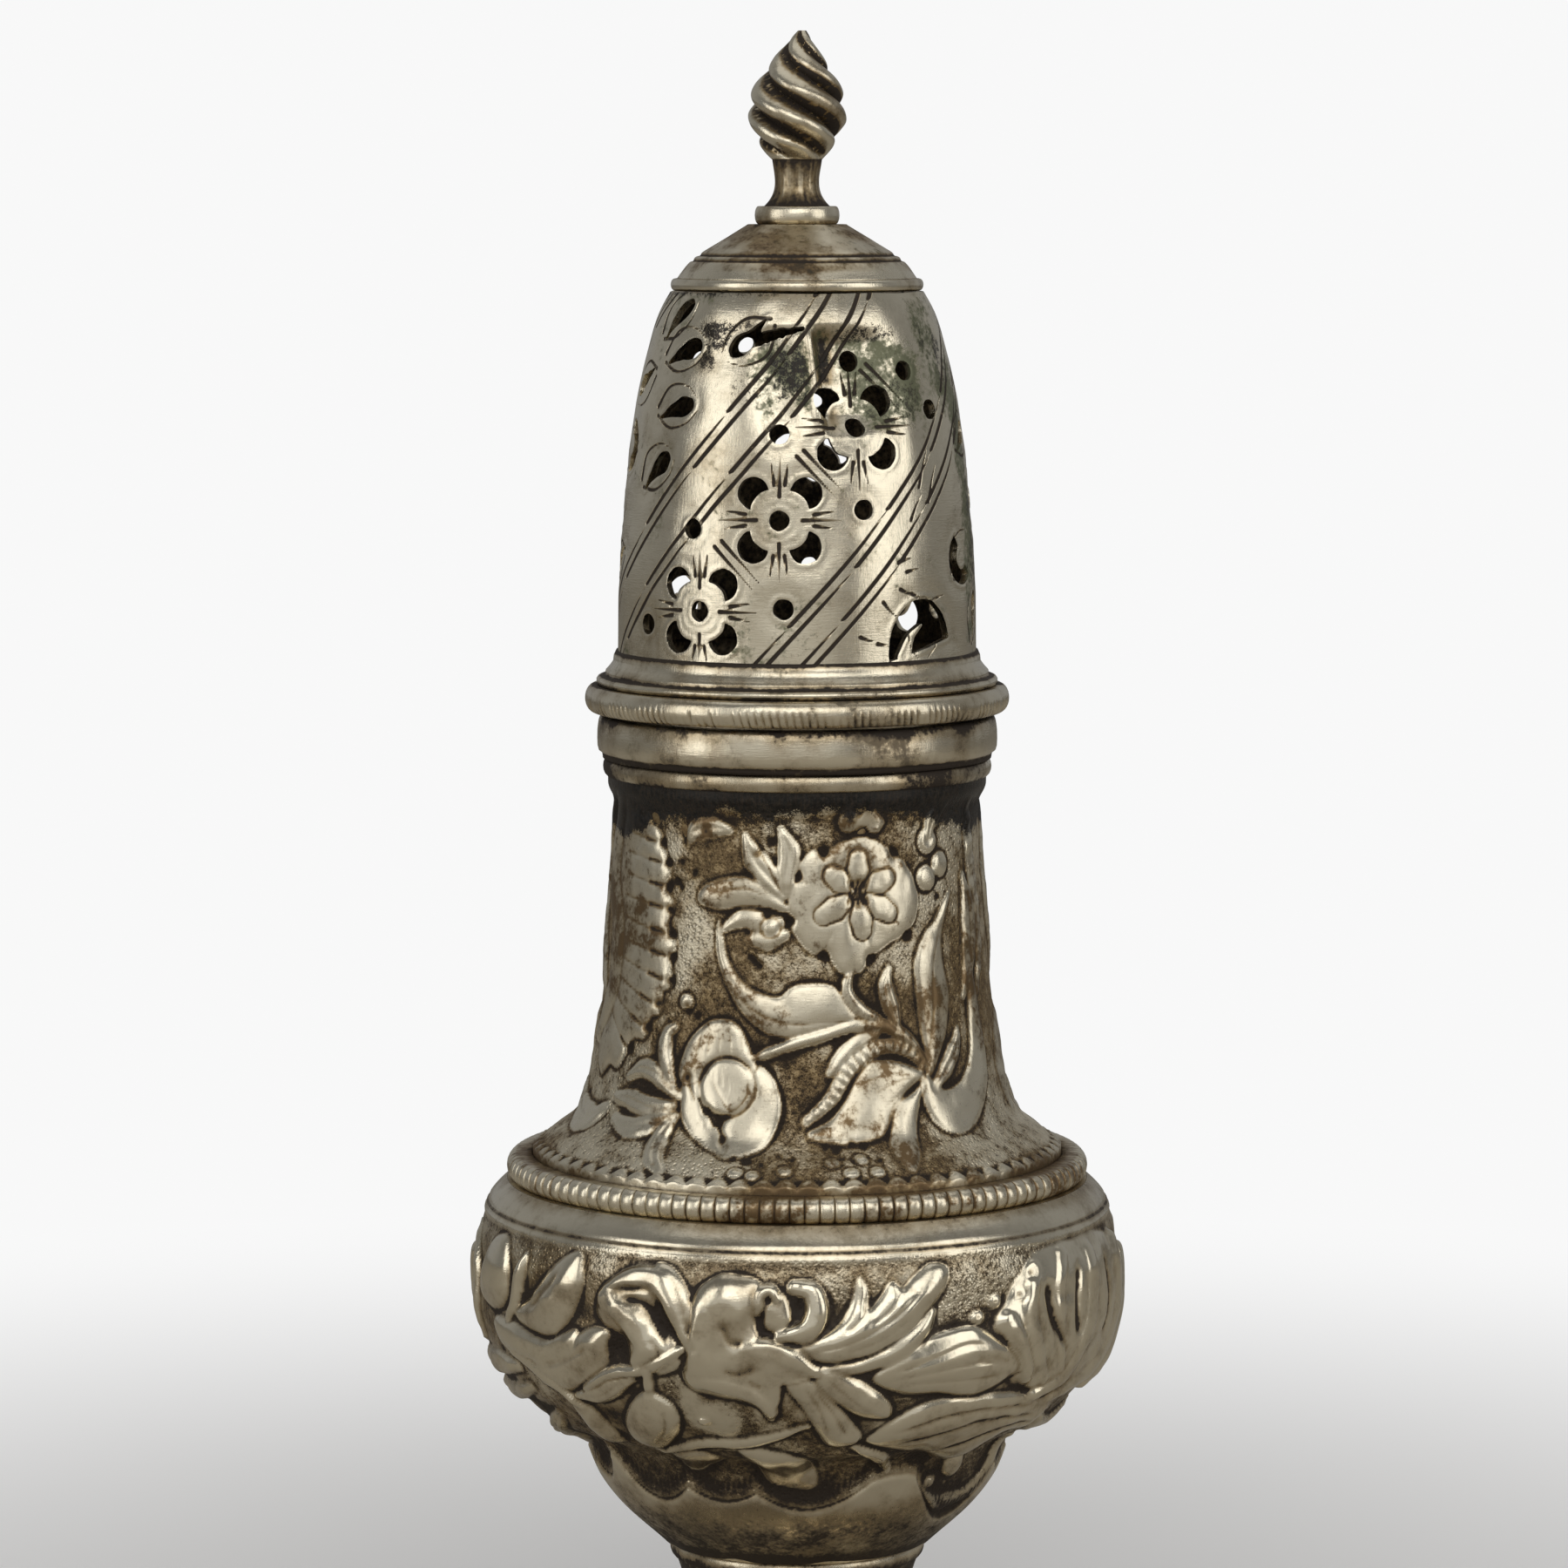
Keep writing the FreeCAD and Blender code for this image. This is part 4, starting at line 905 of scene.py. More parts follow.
def silver(name, finish, rough=0.24, tan=0.5, dark=1.0, stipple=0.0, verdigris=0.0, grain=1.0,
           lined=False, dirt=0.0, film=0.0):
    """Old silver. Its colour goes from bright metal through a tan bloom to a brown-black
    crust as the tarnish layer and three sizes of noise add up; on some pieces that layer
    also holds painted shade. Rubbed edges stay bright, and so do the painted highlights
    that the edge layer holds on some pieces; verdigris lies in patches; fine pits,
    scratches and matting dent it."""
    material = bpy.data.materials.new(name)
    material.use_nodes = True
    bench = Bench(material.node_tree)
    # The tarnish layer holds real tarnish and, on some pieces, painted shade; the edge layer holds rubbed
    # wear and, on some pieces, painted highlights.
    hollow = bench.layer("tarnish_and_shade")
    wear_and_highlight = bench.layer("edge")
    patina = bench.layer("patina")
    matting = bench.layer("matting")
    copper = bench.layer("copper")
    broad = bench.cloud(0.085, 2.0)
    middle = bench.cloud(0.5, 4.0, 0.6)
    small = bench.cloud(2.4, 4.0, 0.65)
    grit = bench.cloud(9.0, 3.0, 0.7)
    scratch = bench.cloud(1.0, 2.0, 0.5, stretch=(6.0, 6.0, 0.8), twist=0.3)
    across = bench.cloud(1.0, 2.0, 0.5, stretch=(0.8, 0.8, 7.0), twist=0.3)

    if lined:
        off = bench.layer("line") - LINE_GAP
        cut = (off * off).over(0.046, 0.01) * (small * 1.3 + 0.8).over(0.0, 0.75)
        hollow = hollow + cut
    crust = (hollow * 1.05 + middle * 0.5 + small * 0.5 - wear_and_highlight * 0.3).over(0.45, 0.95) * dark
    black = (patina + middle * 0.8 + small * 0.9 + grit * 0.8).over(0.46, 0.6)
    flecks = (grit * 2.0 + small * 1.8 + middle * 1.4).over(0.34, 0.56)
    black = black * (1.0 - flecks * 0.8)
    spots = grit * 1.8 + small * 1.3 + middle * 0.7
    specks = (patina * 0.6 + hollow * 0.45 + matting * 0.3 * stipple + spots).over(0.54, 0.68) * 0.85
    if dirt:
        patch = (broad * 2.6 + middle * 1.6 + small + hollow * 0.7).over(0.42, 0.8)
        crust = crust + patch * (0.75 * dirt)
    bloom = (hollow * 1.1 + broad * 2.0 + middle * 0.9 + patina * 0.5).over(-0.1, 0.75) * tan
    salts = bench.cloud(0.16, 3.0, 0.6) * 1.6 + middle * 1.8 + small * 1.6
    green = (copper * 0.9 + salts + hollow * 0.2).over(0.25, 0.85) * (0.9 * verdigris)
    grey = (middle * 1.2 + small * 0.8).over(-0.1, 0.5) * (1.0 - wear_and_highlight)
    haze = (broad * 2.4 + middle * 2.2 + small * 1.3 + hollow * 0.7).over(0.02, 0.75) * film

    films = [(bloom * (1.0 - wear_and_highlight * 0.6), finish.bloom), (grey * 0.35, finish.shade), (haze, finish.film)]
    if stipple:
        warm = (broad * 1.8 + middle * 1.2 + 0.55).over(0.0, 1.0)
        mire = small * 2.2 + grit * 2.0 + middle * 1.6 + broad * 1.5 + hollow * 1.1
        films.append((warm * matting * (0.8 * stipple), finish.bloom))
        films.append((mire.over(0.08, 0.5) * matting * (0.72 * stipple), finish.stain))
    soot = bench.blend((scratch * 0.9 + small * 0.5 + 0.45).over(0.25, 0.75), finish.patina, finish.crust)
    films += [(green, finish.verdigris), (crust, finish.crust), (specks, finish.crust), (black, soot)]
    colour = finish.silver
    for share, over in films:
        colour = bench.blend(share, colour, over)

    dull = crust * 0.8 + green * 0.75 + specks * 0.5 + haze * 0.2
    fouled = (dull + black * 0.7).over(0.0, 1.2)
    roughness = rough + bloom * 0.1 + dull.over(0.0, 1.2) * 0.4 - black * 0.06
    roughness = roughness + matting * stipple * 0.16 + small * 0.16 - wear_and_highlight * 0.05
    height = (grit * 0.3 + small * 0.35 + (scratch + across) * 0.35) * grain
    if lined:
        height = height - cut * 3.0
    normal = bench.dent(height, 0.03 * MM)
    if stipple:
        dots = bench.cells(2.6).over(0.0, 0.55) + (bench.cells(5.5) - 0.4) * 0.4
        normal = bench.dent(dots * matting * stipple, 0.085 * MM, normal)
    shader = bench.add("ShaderNodeBsdfPrincipled", {}, {
        "Base Color": colour, "Metallic": 1.0 - fouled * 0.72, "Roughness": roughness, "Normal": normal,
    })
    output = bench.add("ShaderNodeOutputMaterial")
    bench.tree.links.new(shader.outputs[0], output.inputs["Surface"])
    return material


FINISHES = {
    "wire": {"rough": 0.22, "tan": 0.78, "verdigris": 0.35, "dirt": 0.85, "film": 0.25},
    "bowl": {
        "rough": 0.19, "tan": 0.78, "dark": 0.95, "stipple": 0.9, "grain": 0.6, "film": 0.2, "dirt": 0.28,
    },
    "neck": {"rough": 0.3, "tan": 1.35, "stipple": 1.0, "grain": 0.8, "film": 1.4},
    "dome": {"rough": 0.24, "tan": 0.85, "verdigris": 0.95, "lined": True, "dirt": 0.12, "film": 0.15},
    "cap": {"rough": 0.3, "tan": 1.2, "verdigris": 0.6, "dirt": 1.0, "film": 1.0},
    "cast": {"rough": 0.26, "tan": 1.1, "dirt": 0.45, "film": 0.5},
    "inside": {"rough": 0.3, "tan": 0.8, "verdigris": 0.1},
}


def finish_of(kind):
    """The caster's materials, each made once."""
    name = f"old_{kind}_silver"
    if name in bpy.data.materials:
        return bpy.data.materials[name]
    return silver(name, bpy.context.scene.caster_finish, **FINISHES[kind])


# What a user may change

def number(name, description, value, low, high, **kind):
    limits = {"default": value, "min": low, "max": high}
    return bpy.props.FloatProperty(name=name, description=description, **limits, **kind)


def length(name, description, value, low, high):
    return number(name, description, value * MM, low * MM, high * MM, unit="LENGTH", precision=5)


def colour(name, description, value):
    return bpy.props.FloatVectorProperty(name=name, description=description, default=(*value, 1.0), size=4,
                                         min=0.0, max=1.0, subtype="COLOR")


class CasterSizes(bpy.types.PropertyGroup):
    bowl_relief: length("Bowl relief", "Height of the bowl's chasing over its ground", 1.05, 0.1, 1.4)
    neck_relief: length("Neck relief", "Height of the neck's chasing over its ground", 0.62, 0.1, 0.9)
    wall: length("Wall", "Thickness of the sheet behind the chased ground", 0.65, 0.3, 0.9)
    gauge: length("Dome gauge", "Thickness of the pierced dome", 0.7, 0.3, 1.0)
    reed_depth: length("Reed depth", "Depth of the cuts between the girdle's reeds", 0.36, 0.0, 0.8)
    reeds: bpy.props.IntProperty(name="Reeds", description="Reeds round the girdle wire", default=124,
                                 min=12, max=240)
    dent: length("Dent", "Depth of the knock in the dome", 1.35, 0.0, 1.8)


class CasterFinish(bpy.types.PropertyGroup):
    silver: colour("Silver", "Rubbed bright metal", (0.8, 0.735, 0.58))
    shade: colour("Shade", "Greyer metal between the bright parts", (0.36, 0.315, 0.215))
    bloom: colour("Bloom", "Tan film over the metal", (0.38, 0.285, 0.155))
    film: colour("Film", "Brown film in patches over the metal", (0.2, 0.135, 0.07))
    stain: colour("Stain", "Brown stain in the matted ground", (0.135, 0.092, 0.05))
    # Crust also colours the painted shade that the tarnish layer holds on some pieces.
    crust: colour("Crust", "Brown-black tarnish in the hollows", (0.03, 0.021, 0.014))
    patina: colour("Patina", "Black band under the lip", (0.01, 0.01, 0.009))
    verdigris: colour("Verdigris", "Grey-green copper salts", (0.07, 0.088, 0.036))


class CasterStage(bpy.types.PropertyGroup):
    camera_distance: number("Camera distance", "From the axis to the camera", 0.4846, 0.1, 3.0,
                            unit="LENGTH")
    camera_height: number("Camera height", "Camera over the floor", 0.13405, 0.0, 2.0, unit="LENGTH")
    camera_pitch: number("Camera pitch", "How far the camera looks down", np.radians(6.0), -1.5, 1.5,
                         subtype="ANGLE")
    lens: number("Lens", "Focal length", 132.97, 20.0, 300.0, unit="CAMERA")
    key: number("Key lamp", "Power of the main lamp", 3.2, 0.0, 100.0, unit="POWER")
    backdrop: number("Backdrop", "Brightness of the pale background", 0.94, 0.0, 1.0, subtype="FACTOR")


# Pieces

class CasterPiece:
    """What the piece operators share."""
    bl_options = {"REGISTER", "UNDO"}

    @property
    def sizes(self):
        return bpy.context.scene.caster_sizes


def half_walls(node, relief, proud, layers, inner_proud, kind):
    """Two closed halves of a chased wall, met at the sides: the relief outside and a
    coarser smooth wall inside, `inner_proud` from the outline at each length."""
    rows, columns = proud.shape
    wrap = np.concatenate([np.arange(columns), [0]])
    turn = np.concatenate([relief.turn, [90.0]])
    few_rows = np.linspace(0, rows - 1, rows // COARSE).round().astype(int)
    few_columns = np.linspace(0, columns, columns // COARSE).round().astype(int)
    few_run = relief.run[few_rows][:, None]
    for part, start in HALVES:
        outer = relief.outline.place(turn[None, :] + start, relief.run[:, None], proud[:, wrap])
        inner = relief.outline.place(turn[None, few_columns] + start, few_run, inner_proud[few_rows][:, None])
        points, faces, crisp = walled(outer, inner)
        marks = {}
        for key, value in layers.items():
            behind = np.full(inner.shape[0] * inner.shape[1], 0.45 if key == "tarnish_and_shade" else 0.0)
            marks[key] = np.concatenate([value[:, wrap].ravel(), behind])
        put(f"{node}_{part}", points, faces, node, kind, marks, crisp)


def stains(relief, field, near_gain=0.55, far_gain=0.85, ink=0.65):
    """Tarnish that lies in the hollows and the bright wear on what stands proud, from
    how far each cell lies under or over the averages round it."""
    near, far = (blurred(field, max(1, round(reach / relief.cell))) - field for reach in (0.45, 1.6))
    tarnish_and_shade = near_gain * eased(near, 0.01, 0.13) + far_gain * eased(far, 0.03, 0.5) + ink * relief.ink
    edge = 0.6 * eased(-near, 0.01, 0.09) + 0.7 * eased(-far, 0.08, 0.42)
    return np.clip(tarnish_and_shade, 0, 1), np.clip(edge, 0, 1)


# The bowl's border: cusps as (angle, height), and how far each arc between two of them sags
BOWL_CUSPS = (
    (-90, 26.6), (-73, 26.4), (-57, 27.9), (-31, 26.1), (-11, 26.0), (20, 26.9), (33, 27.1),
    (70, 26.4), (90, 26.6),
)
BOWL_SAGS = (1.6, 1.8, 2.4, 1.0, 1.9, -0.4, 4.4, 1.4)


def bowl_border(turn):
    """Height of the chased ground's lower edge: arcs that sag between cusps."""
    place, height = np.array(BOWL_CUSPS, float).T
    span = np.clip(np.searchsorted(place, turn, side="right") - 1, 0, len(BOWL_SAGS) - 1)
    share = (turn - place[span]) / (place[span + 1] - place[span])
    sag = np.array(BOWL_SAGS)[span]
    return height[span] * (1 - share) + height[span + 1] * share - 4 * sag * share * (1 - share)


class CASTER_OT_bowl(CasterPiece, bpy.types.Operator):
    """Chased baluster bowl with its floor and shoulder"""
    bl_idname = "caster.bowl"
    bl_label = "Bowl"

    def execute(self, context):
        """The outline turned round, its ground sunk between a scalloped border and the
        plain top band, and the chasing raised to the outline. Inside, a smooth wall."""
        points = placed(BOWL_SHARES, 11.5, radius_of("bowl"), Z_BOWL, Z_SHOULDER - Z_BOWL)
        outline = Outline(points)
        outline.radius = np.minimum(outline.radius, radius_of("bowl") - 0.005)
        relief = Relief(outline, Z_BOWL, Z_SHOULDER, 450, 205)
        chase_bowl(relief)
        level = relief.level[:, None]
        border = bowl_border(relief.turn)[None, :]
        inside = eased(level - border, 0.0, 0.8) * (1 - eased(level, 46.9, 47.7))
        deep = self.sizes.bowl_relief / MM
        depth = deep * (0.45 + 0.55 * eased(level, 25, 31)) * (1 - 0.72 * eased(level, 41.5, 46.0))
        soft = 0.15 * blurred(relief.height, 1) + 0.45 * blurred(relief.height, 5)
        relief.height = 0.45 * relief.height + soft
        relief.height += 0.16 * (mottled(relief.height.shape, (26, 56), 5) - 0.5)
        raised = np.clip(relief.height, -0.4, 1.0)
        proud = inside * depth * (raised - 1.0)
        lift = 0.62 * eased(level, 40.0, 44.5) + 0.35 * (1 - eased(level, 29.5, 37.0))
        proud = proud + inside * lift * np.maximum(raised - 0.15, 0)
        proud = np.minimum(proud, (radius_of("bowl") - 0.02 - relief.radius)[:, None])
        relief.ink *= inside
        rim = np.exp(-((level - border - 0.15) / 0.18) ** 2)
        proud = proud - 0.22 * rim + 0.1 * np.exp(-((level - border - 0.75) / 0.3) ** 2)
        for line in (47.75, 48.15):
            proud = proud - 0.1 * np.exp(-((level - line) / 0.13) ** 2)
        proud = proud - 0.1 * mottled(proud.shape, (8, 14), 11)
        tarnish_and_shade, edge = stains(relief, proud, near_gain=0.5, far_gain=0.62, ink=0.55)
        foot_shade = 0.74 * (1 - eased(level, 21.0, 28.0)) + 0.5 * (1 - eased(level, 18.9, 20.2))
        band_shade = 0.55 * eased(level, 48.8, 50.0) + 0.9 * np.exp(-((level - 48.0) / 0.17) ** 2)
        # Painted shade: slopes of the relief that face down are darkened through the tarnish layer.
        slope = blurred(np.gradient(proud, axis=0), 1) / relief.cell
        painted_shade_facing_down = eased(slope, 0.1, 0.7)
        lower = 0.42 * eased(36 - level, 0, 9)
        shade = foot_shade + band_shade + (lower + 0.26 * painted_shade_facing_down) * inside + 0.4 * rim
        tarnish_and_shade = np.clip(tarnish_and_shade + shade, 0, 1)
        # Painted highlight: slopes of the relief that face up are brightened through the edge layer.
        edge = np.clip(edge + 0.5 * inside * eased(-slope, 0.05, 0.5), 0, 1)
        ground = inside * eased(0.22 - relief.height, 0, 0.2)
        tarnish_and_shade = np.clip(tarnish_and_shade + 0.22 * ground, 0, 1)
        # Painted highlight: a bright band just under the engraved lines, where the wall rolls outward.
        edge = np.clip(edge + 0.55 * np.exp(-((level - 47.1) / 0.45) ** 2), 0, 1)
        layers = {"tarnish_and_shade": tarnish_and_shade, "edge": edge, "matting": ground}
        wall = -(deep + self.sizes.wall / MM) * np.ones(len(relief.run))
        half_walls("bowl", relief, proud, layers, wall, "bowl")
        floor_top = Z_BOWL + self.sizes.gauge / MM
        disc = [
            (0, Z_BOWL), (11.45, Z_BOWL, 1), (11.9, floor_top - 0.1), (11.3, floor_top + 0.5),
            (10.2, floor_top + 0.05), (0, floor_top),
        ]
        turned("bowl_floor", disc, 96, "bowl", "inside", [0.4] * 6)
        under = Z_SHOULDER - self.sizes.gauge / MM
        flange = [(20.95, under, 1), (24.2, under - 0.2), (24.5, Z_SHOULDER, 1), (20.95, Z_SHOULDER, 1)]
        turned("bowl_shoulder", flange, 192, "bowl", "inside", [0.5] * 4)
        return {"FINISHED"}


# Dark places of the neck's ground: angle, half width, height, half height
NECK_STAINS = (
    (-5, 9, 62.6, 1.6), (2, 9, 58.6, 2.6), (21, 4, 68.0, 2.2), (-26, 5, 66.8, 1.4), (-38, 6, 62.0, 2.4),
)


class CASTER_OT_neck(CasterPiece, bpy.types.Operator):
    """Chased neck with the black band under its lip"""
    bl_idname = "caster.neck"
    bl_label = "Neck"

    def execute(self, context):
        """The outline turned round, the ground sunk between a scalloped foot and the lip,
        and the chasing raised to the outline. The bore is true above the relief."""
        radius = radius_of("lip_reed") - 0.45
        foot = radius_of("neck")
        top = Z_SHOULDER + 30.3
        points = placed(NECK_SHARES, radius, foot, Z_GIRDLE_TOP + 0.7, top - Z_GIRDLE_TOP - 0.7)
        outline = Outline(points, then=((radius, Z_LIP),), first=(foot, Z_SHOULDER))
        relief = Relief(outline, Z_SHOULDER, Z_LIP, 380, 240)
        chase_neck(relief)
        level = relief.level[:, None]
        turn = relief.turn[None, :]
        scallop = Z_GIRDLE_TOP + 0.5 + 0.5 * np.abs(np.sin(np.radians(turn) * 37))
        ragged = 1.3 * mottled((2, 380), (2, 22), 21)[:1] + 0.9 * mottled((2, 380), (2, 90), 22)[:1] - 1.1
        inside = eased(level - scallop, 0.0, 0.5) * (1 - eased(level, 81.6, 83.4))
        deep = self.sizes.neck_relief / MM
        depth = deep * (0.6 + 0.4 * eased(level, 53, 57)) * np.ones_like(turn)
        relief.height = 0.5 * relief.height + 0.5 * blurred(relief.height, 1)
        relief.height += 0.12 * (mottled(relief.height.shape, (30, 64), 8) - 0.5)
        proud = inside * depth * (np.minimum(relief.height, 1.0) - 1.0)
        relief.ink *= inside
        proud = proud - 0.08 * mottled(proud.shape, (8, 12), 12) * eased(Z_REED - level, 0, 4)
        proud = proud - 0.14 * np.exp(-((level - scallop) / 0.14) ** 2)
        tarnish_and_shade, edge = stains(relief, proud, near_gain=0.62, far_gain=1.1)
        tarnish_and_shade = np.clip(tarnish_and_shade + 0.45 * (1 - eased(level, 52.2, 53.6)), 0, 1)
        low = 82.0 - 2.3 * eased(np.abs((turn - 2 + 90) % 180 - 90), 32, 66)
        patina = np.clip(0.5 + (level - low - ragged * 0.7) / 1.9, 0, 1)
        ground = inside * eased(0.2 - relief.height, 0, 0.2)
        for middle, across, rise, tall in NECK_STAINS:
            bell = np.exp(-((turn - middle) / across) ** 2 - ((level - rise) / tall) ** 2)
            tarnish_and_shade = tarnish_and_shade + 0.42 * ground * bell
        tarnish_and_shade = np.clip(tarnish_and_shade + 0.1 * ground, 0, 1)
        tarnish_and_shade = tarnish_and_shade * (1 - 0.5 * patina)
        layers = {"tarnish_and_shade": tarnish_and_shade, "edge": edge * (1 - patina), "matting": ground, "patina": patina}
        gauge = self.sizes.gauge / MM
        blend = eased(relief.level, 78.0, 80.2)
        wall = -(gauge * blend + (deep + self.sizes.wall / MM) * (1 - blend))
        half_walls("neck", relief, proud, layers, wall, "neck")
        return {"FINISHED"}


def petal_rims(x, y, way):
    """Flat distance to a kidney: outside its round and inside its tongue count as +."""
    along_x = np.cos(np.radians(way))
    along_y = np.sin(np.radians(way))
    disc = np.hypot(x - 3.1 * along_x, y - 3.1 * along_y) - 1.35
    tongue = 1.8 - np.hypot(x - 0.9 * along_x, y - 0.9 * along_y)
    return np.maximum(disc, tongue)


def crescent_rims(x, y, way):
    """Flat distance to a half ring whose gap faces `way`."""
    toward = x * np.cos(np.radians(way)) + y * np.sin(np.radians(way))
    reach = np.hypot(x, y)
    return np.maximum(np.abs(reach - 1.425) - 0.575, toward - 0.17 * reach)


COMMA = ((-0.5, -0.34), (-0.1, 0.22), (0.22, 0.5), (0.46, 0.3), (0.46, -0.16), (0.24, -0.44), (-0.06, -0.34))


def comma_rims(x, y, way):
    """Flat distance to a comma's closed outline, counted - inside it."""
    shape = np.array(COMMA) * np.array([3.6, 1.5])
    round_part = bent(shape[1:], 6)
    loop = np.concatenate([shape[:1], round_part, shape[:1]])
    turn = np.radians(way)
    flat_x = x * np.cos(turn) + y * np.sin(turn)
    flat_y = -x * np.sin(turn) + y * np.cos(turn)
    away, _, _ = along(flat_x, flat_y, loop)
    return np.where(enclosed(flat_x, flat_y, loop), -away, away)


def arch_rims(x, y, way):
    """Flat distance to half a disc that stands on its side, less a thorn from below."""
    dome = np.maximum(np.hypot(x, 0.82 * (y + 1.5)) - 2.7, -1.4 - y + 0.25 * x)
    away, _, share = along(x, y, bent(((-1.5, -1.8), (-1.0, -0.6), (-0.1, 0.15))))
    return np.maximum(dome, 0.5 - 0.42 * share - away)


# The dome's holes: share of its height, angle off the panel's lean and, last, the way they face
FLOWERS = ((0.138, 0), (0.389, 0), (0.64, 0))
DRILLS = (
    (0.093, -18), (0.361, -27), (0.622, -25), (0.825, -19), (0.148, 27), (0.416, 25), (0.682, 29), (0.791, 7),
)
COMMAS = (
    (0.1, 24, 70), (0.255, 27, 200), (0.515, 27, 32), (0.6, -29, 20),
    (0.685, 16, 8), (0.755, -17, 200), (0.838, -1, 15), (0.93, -19, 42), (0.88, 25, 215),
)
CRESCENTS = ((0.089, -9, 270), (0.27, -5, 40), (0.425, 4, 0), (0.575, -4, 180))
DOME_TWIST = 106.0
DOME_FRONT = 6.0
# Short engraved strokes: angle, height, slope
DASHES = (
    (34, 102.6, 0.3), (37, 101.8, 0.2), (34.5, 100.4, -0.5), (39, 100.0, -0.5), (44, 99.6, -0.3),
    (49, 99.4, 0.3), (20, 96.6, -0.4), (26, 96.0, -0.2), (28, 99.4, -1.2), (44, 108.6, 3.0),
    (48, 107.4, 3.0), (40, 106.0, 2.0),
)
# Where black crust and green salts lie: angle, height, half width, half height, strength
BLACK_PLACES = (
    (-28, 121.0, 4.0, 1.7, 0.6), (-36, 119.6, 1.1, 2.2, 0.52), (-3, 118.0, 2.4, 3.2, 0.56),
    (-12, 116.9, 3.6, 1.5, 0.5), (11, 118.6, 0.8, 2.8, 0.56), (80, 106, 2.4, 14.0, 0.5),
    (70, 119, 1.6, 3.0, 0.5), (28, 121.4, 3.6, 0.9, 0.54),
)
GREEN_PLACES = (
    (36, 116.8, 4.6, 4.0, 0.95), (-4, 117.6, 3.2, 3.4, 0.95), (60, 119.5, 1.8, 4.4, 0.95),
    (74, 108, 1.6, 13.0, 0.95),
)


def lean(up):
    """Angle of a panel's middle line at a share of the dome's height."""
    return DOME_FRONT + DOME_TWIST * (up - 0.5)


def slid(values, rise):
    """A grid moved up by `rise` rows, which varies over it; shares between two rows."""
    rows, columns = values.shape
    place = np.clip(np.arange(rows)[:, None] - rise, 0, rows - 1.001)
    low = place.astype(int)
    column = np.arange(columns)[None, :]
    return values[low, column] + (place - low) * (values[low + 1, column] - values[low, column])


def clipped(values, field, shape):
    """Cuts a grid of values (vertices by columns) where the field is below 0: triangles
    wholly above stay, those below go, and one that straddles is cut on the line where
    the field is 0, found by equal shares along its two crossed sides."""
    rows, columns = shape
    index = np.arange(rows * columns).reshape(rows, columns)
    four = quads(index)
    triangles = np.concatenate([four[:, [0, 1, 2]], four[:, [0, 2, 3]]])
    below = field[triangles] < 0
    above = field[triangles] > 0
    whole = triangles[~below.any(axis=1) & above.any(axis=1)]
    mixed = below.any(axis=1) & above.any(axis=1)
    split = triangles[mixed]
    count = below[mixed].sum(axis=1)
    odd = np.where(count == 1, np.argmax(below[mixed], axis=1), np.argmax(above[mixed], axis=1))
    split = np.take_along_axis(split, (odd[:, None] + np.arange(3)) % 3, axis=1)
    total = rows * columns
    lone, second, third = split.T
    pairs = np.stack([lone, second, lone, third], axis=-1).reshape(-1, 2)
    crosses = field[pairs[:, 0]] * field[pairs[:, 1]] < 0
    key = pairs.min(axis=1) * total + pairs.max(axis=1)
    unique, place = np.unique(key[crosses], return_inverse=True)
    low, high = unique // total, unique % total
    share = field[low] / (field[low] - field[high])
    fresh = values[low] + share[:, None] * (values[high] - values[low])
    met = np.where(field[pairs[:, 0]] == 0, pairs[:, 0], pairs[:, 1])
    met[crosses] = total + place
    met = met.reshape(-1, 2)
    one = count == 1
    kept = [
        whole,
        np.stack([met[one, 0], second[one], third[one]], axis=-1),
        np.stack([met[one, 0], third[one], met[one, 1]], axis=-1),
        np.stack([lone[~one], met[~one, 0], met[~one, 1]], axis=-1),
    ]
    triangles = np.concatenate(kept)
    bad = (triangles == np.roll(triangles, 1, axis=1)).any(axis=1)
    triangles = triangles[~bad]
    used = np.unique(triangles)
    return np.concatenate([values, fresh])[used], np.searchsorted(used, triangles)


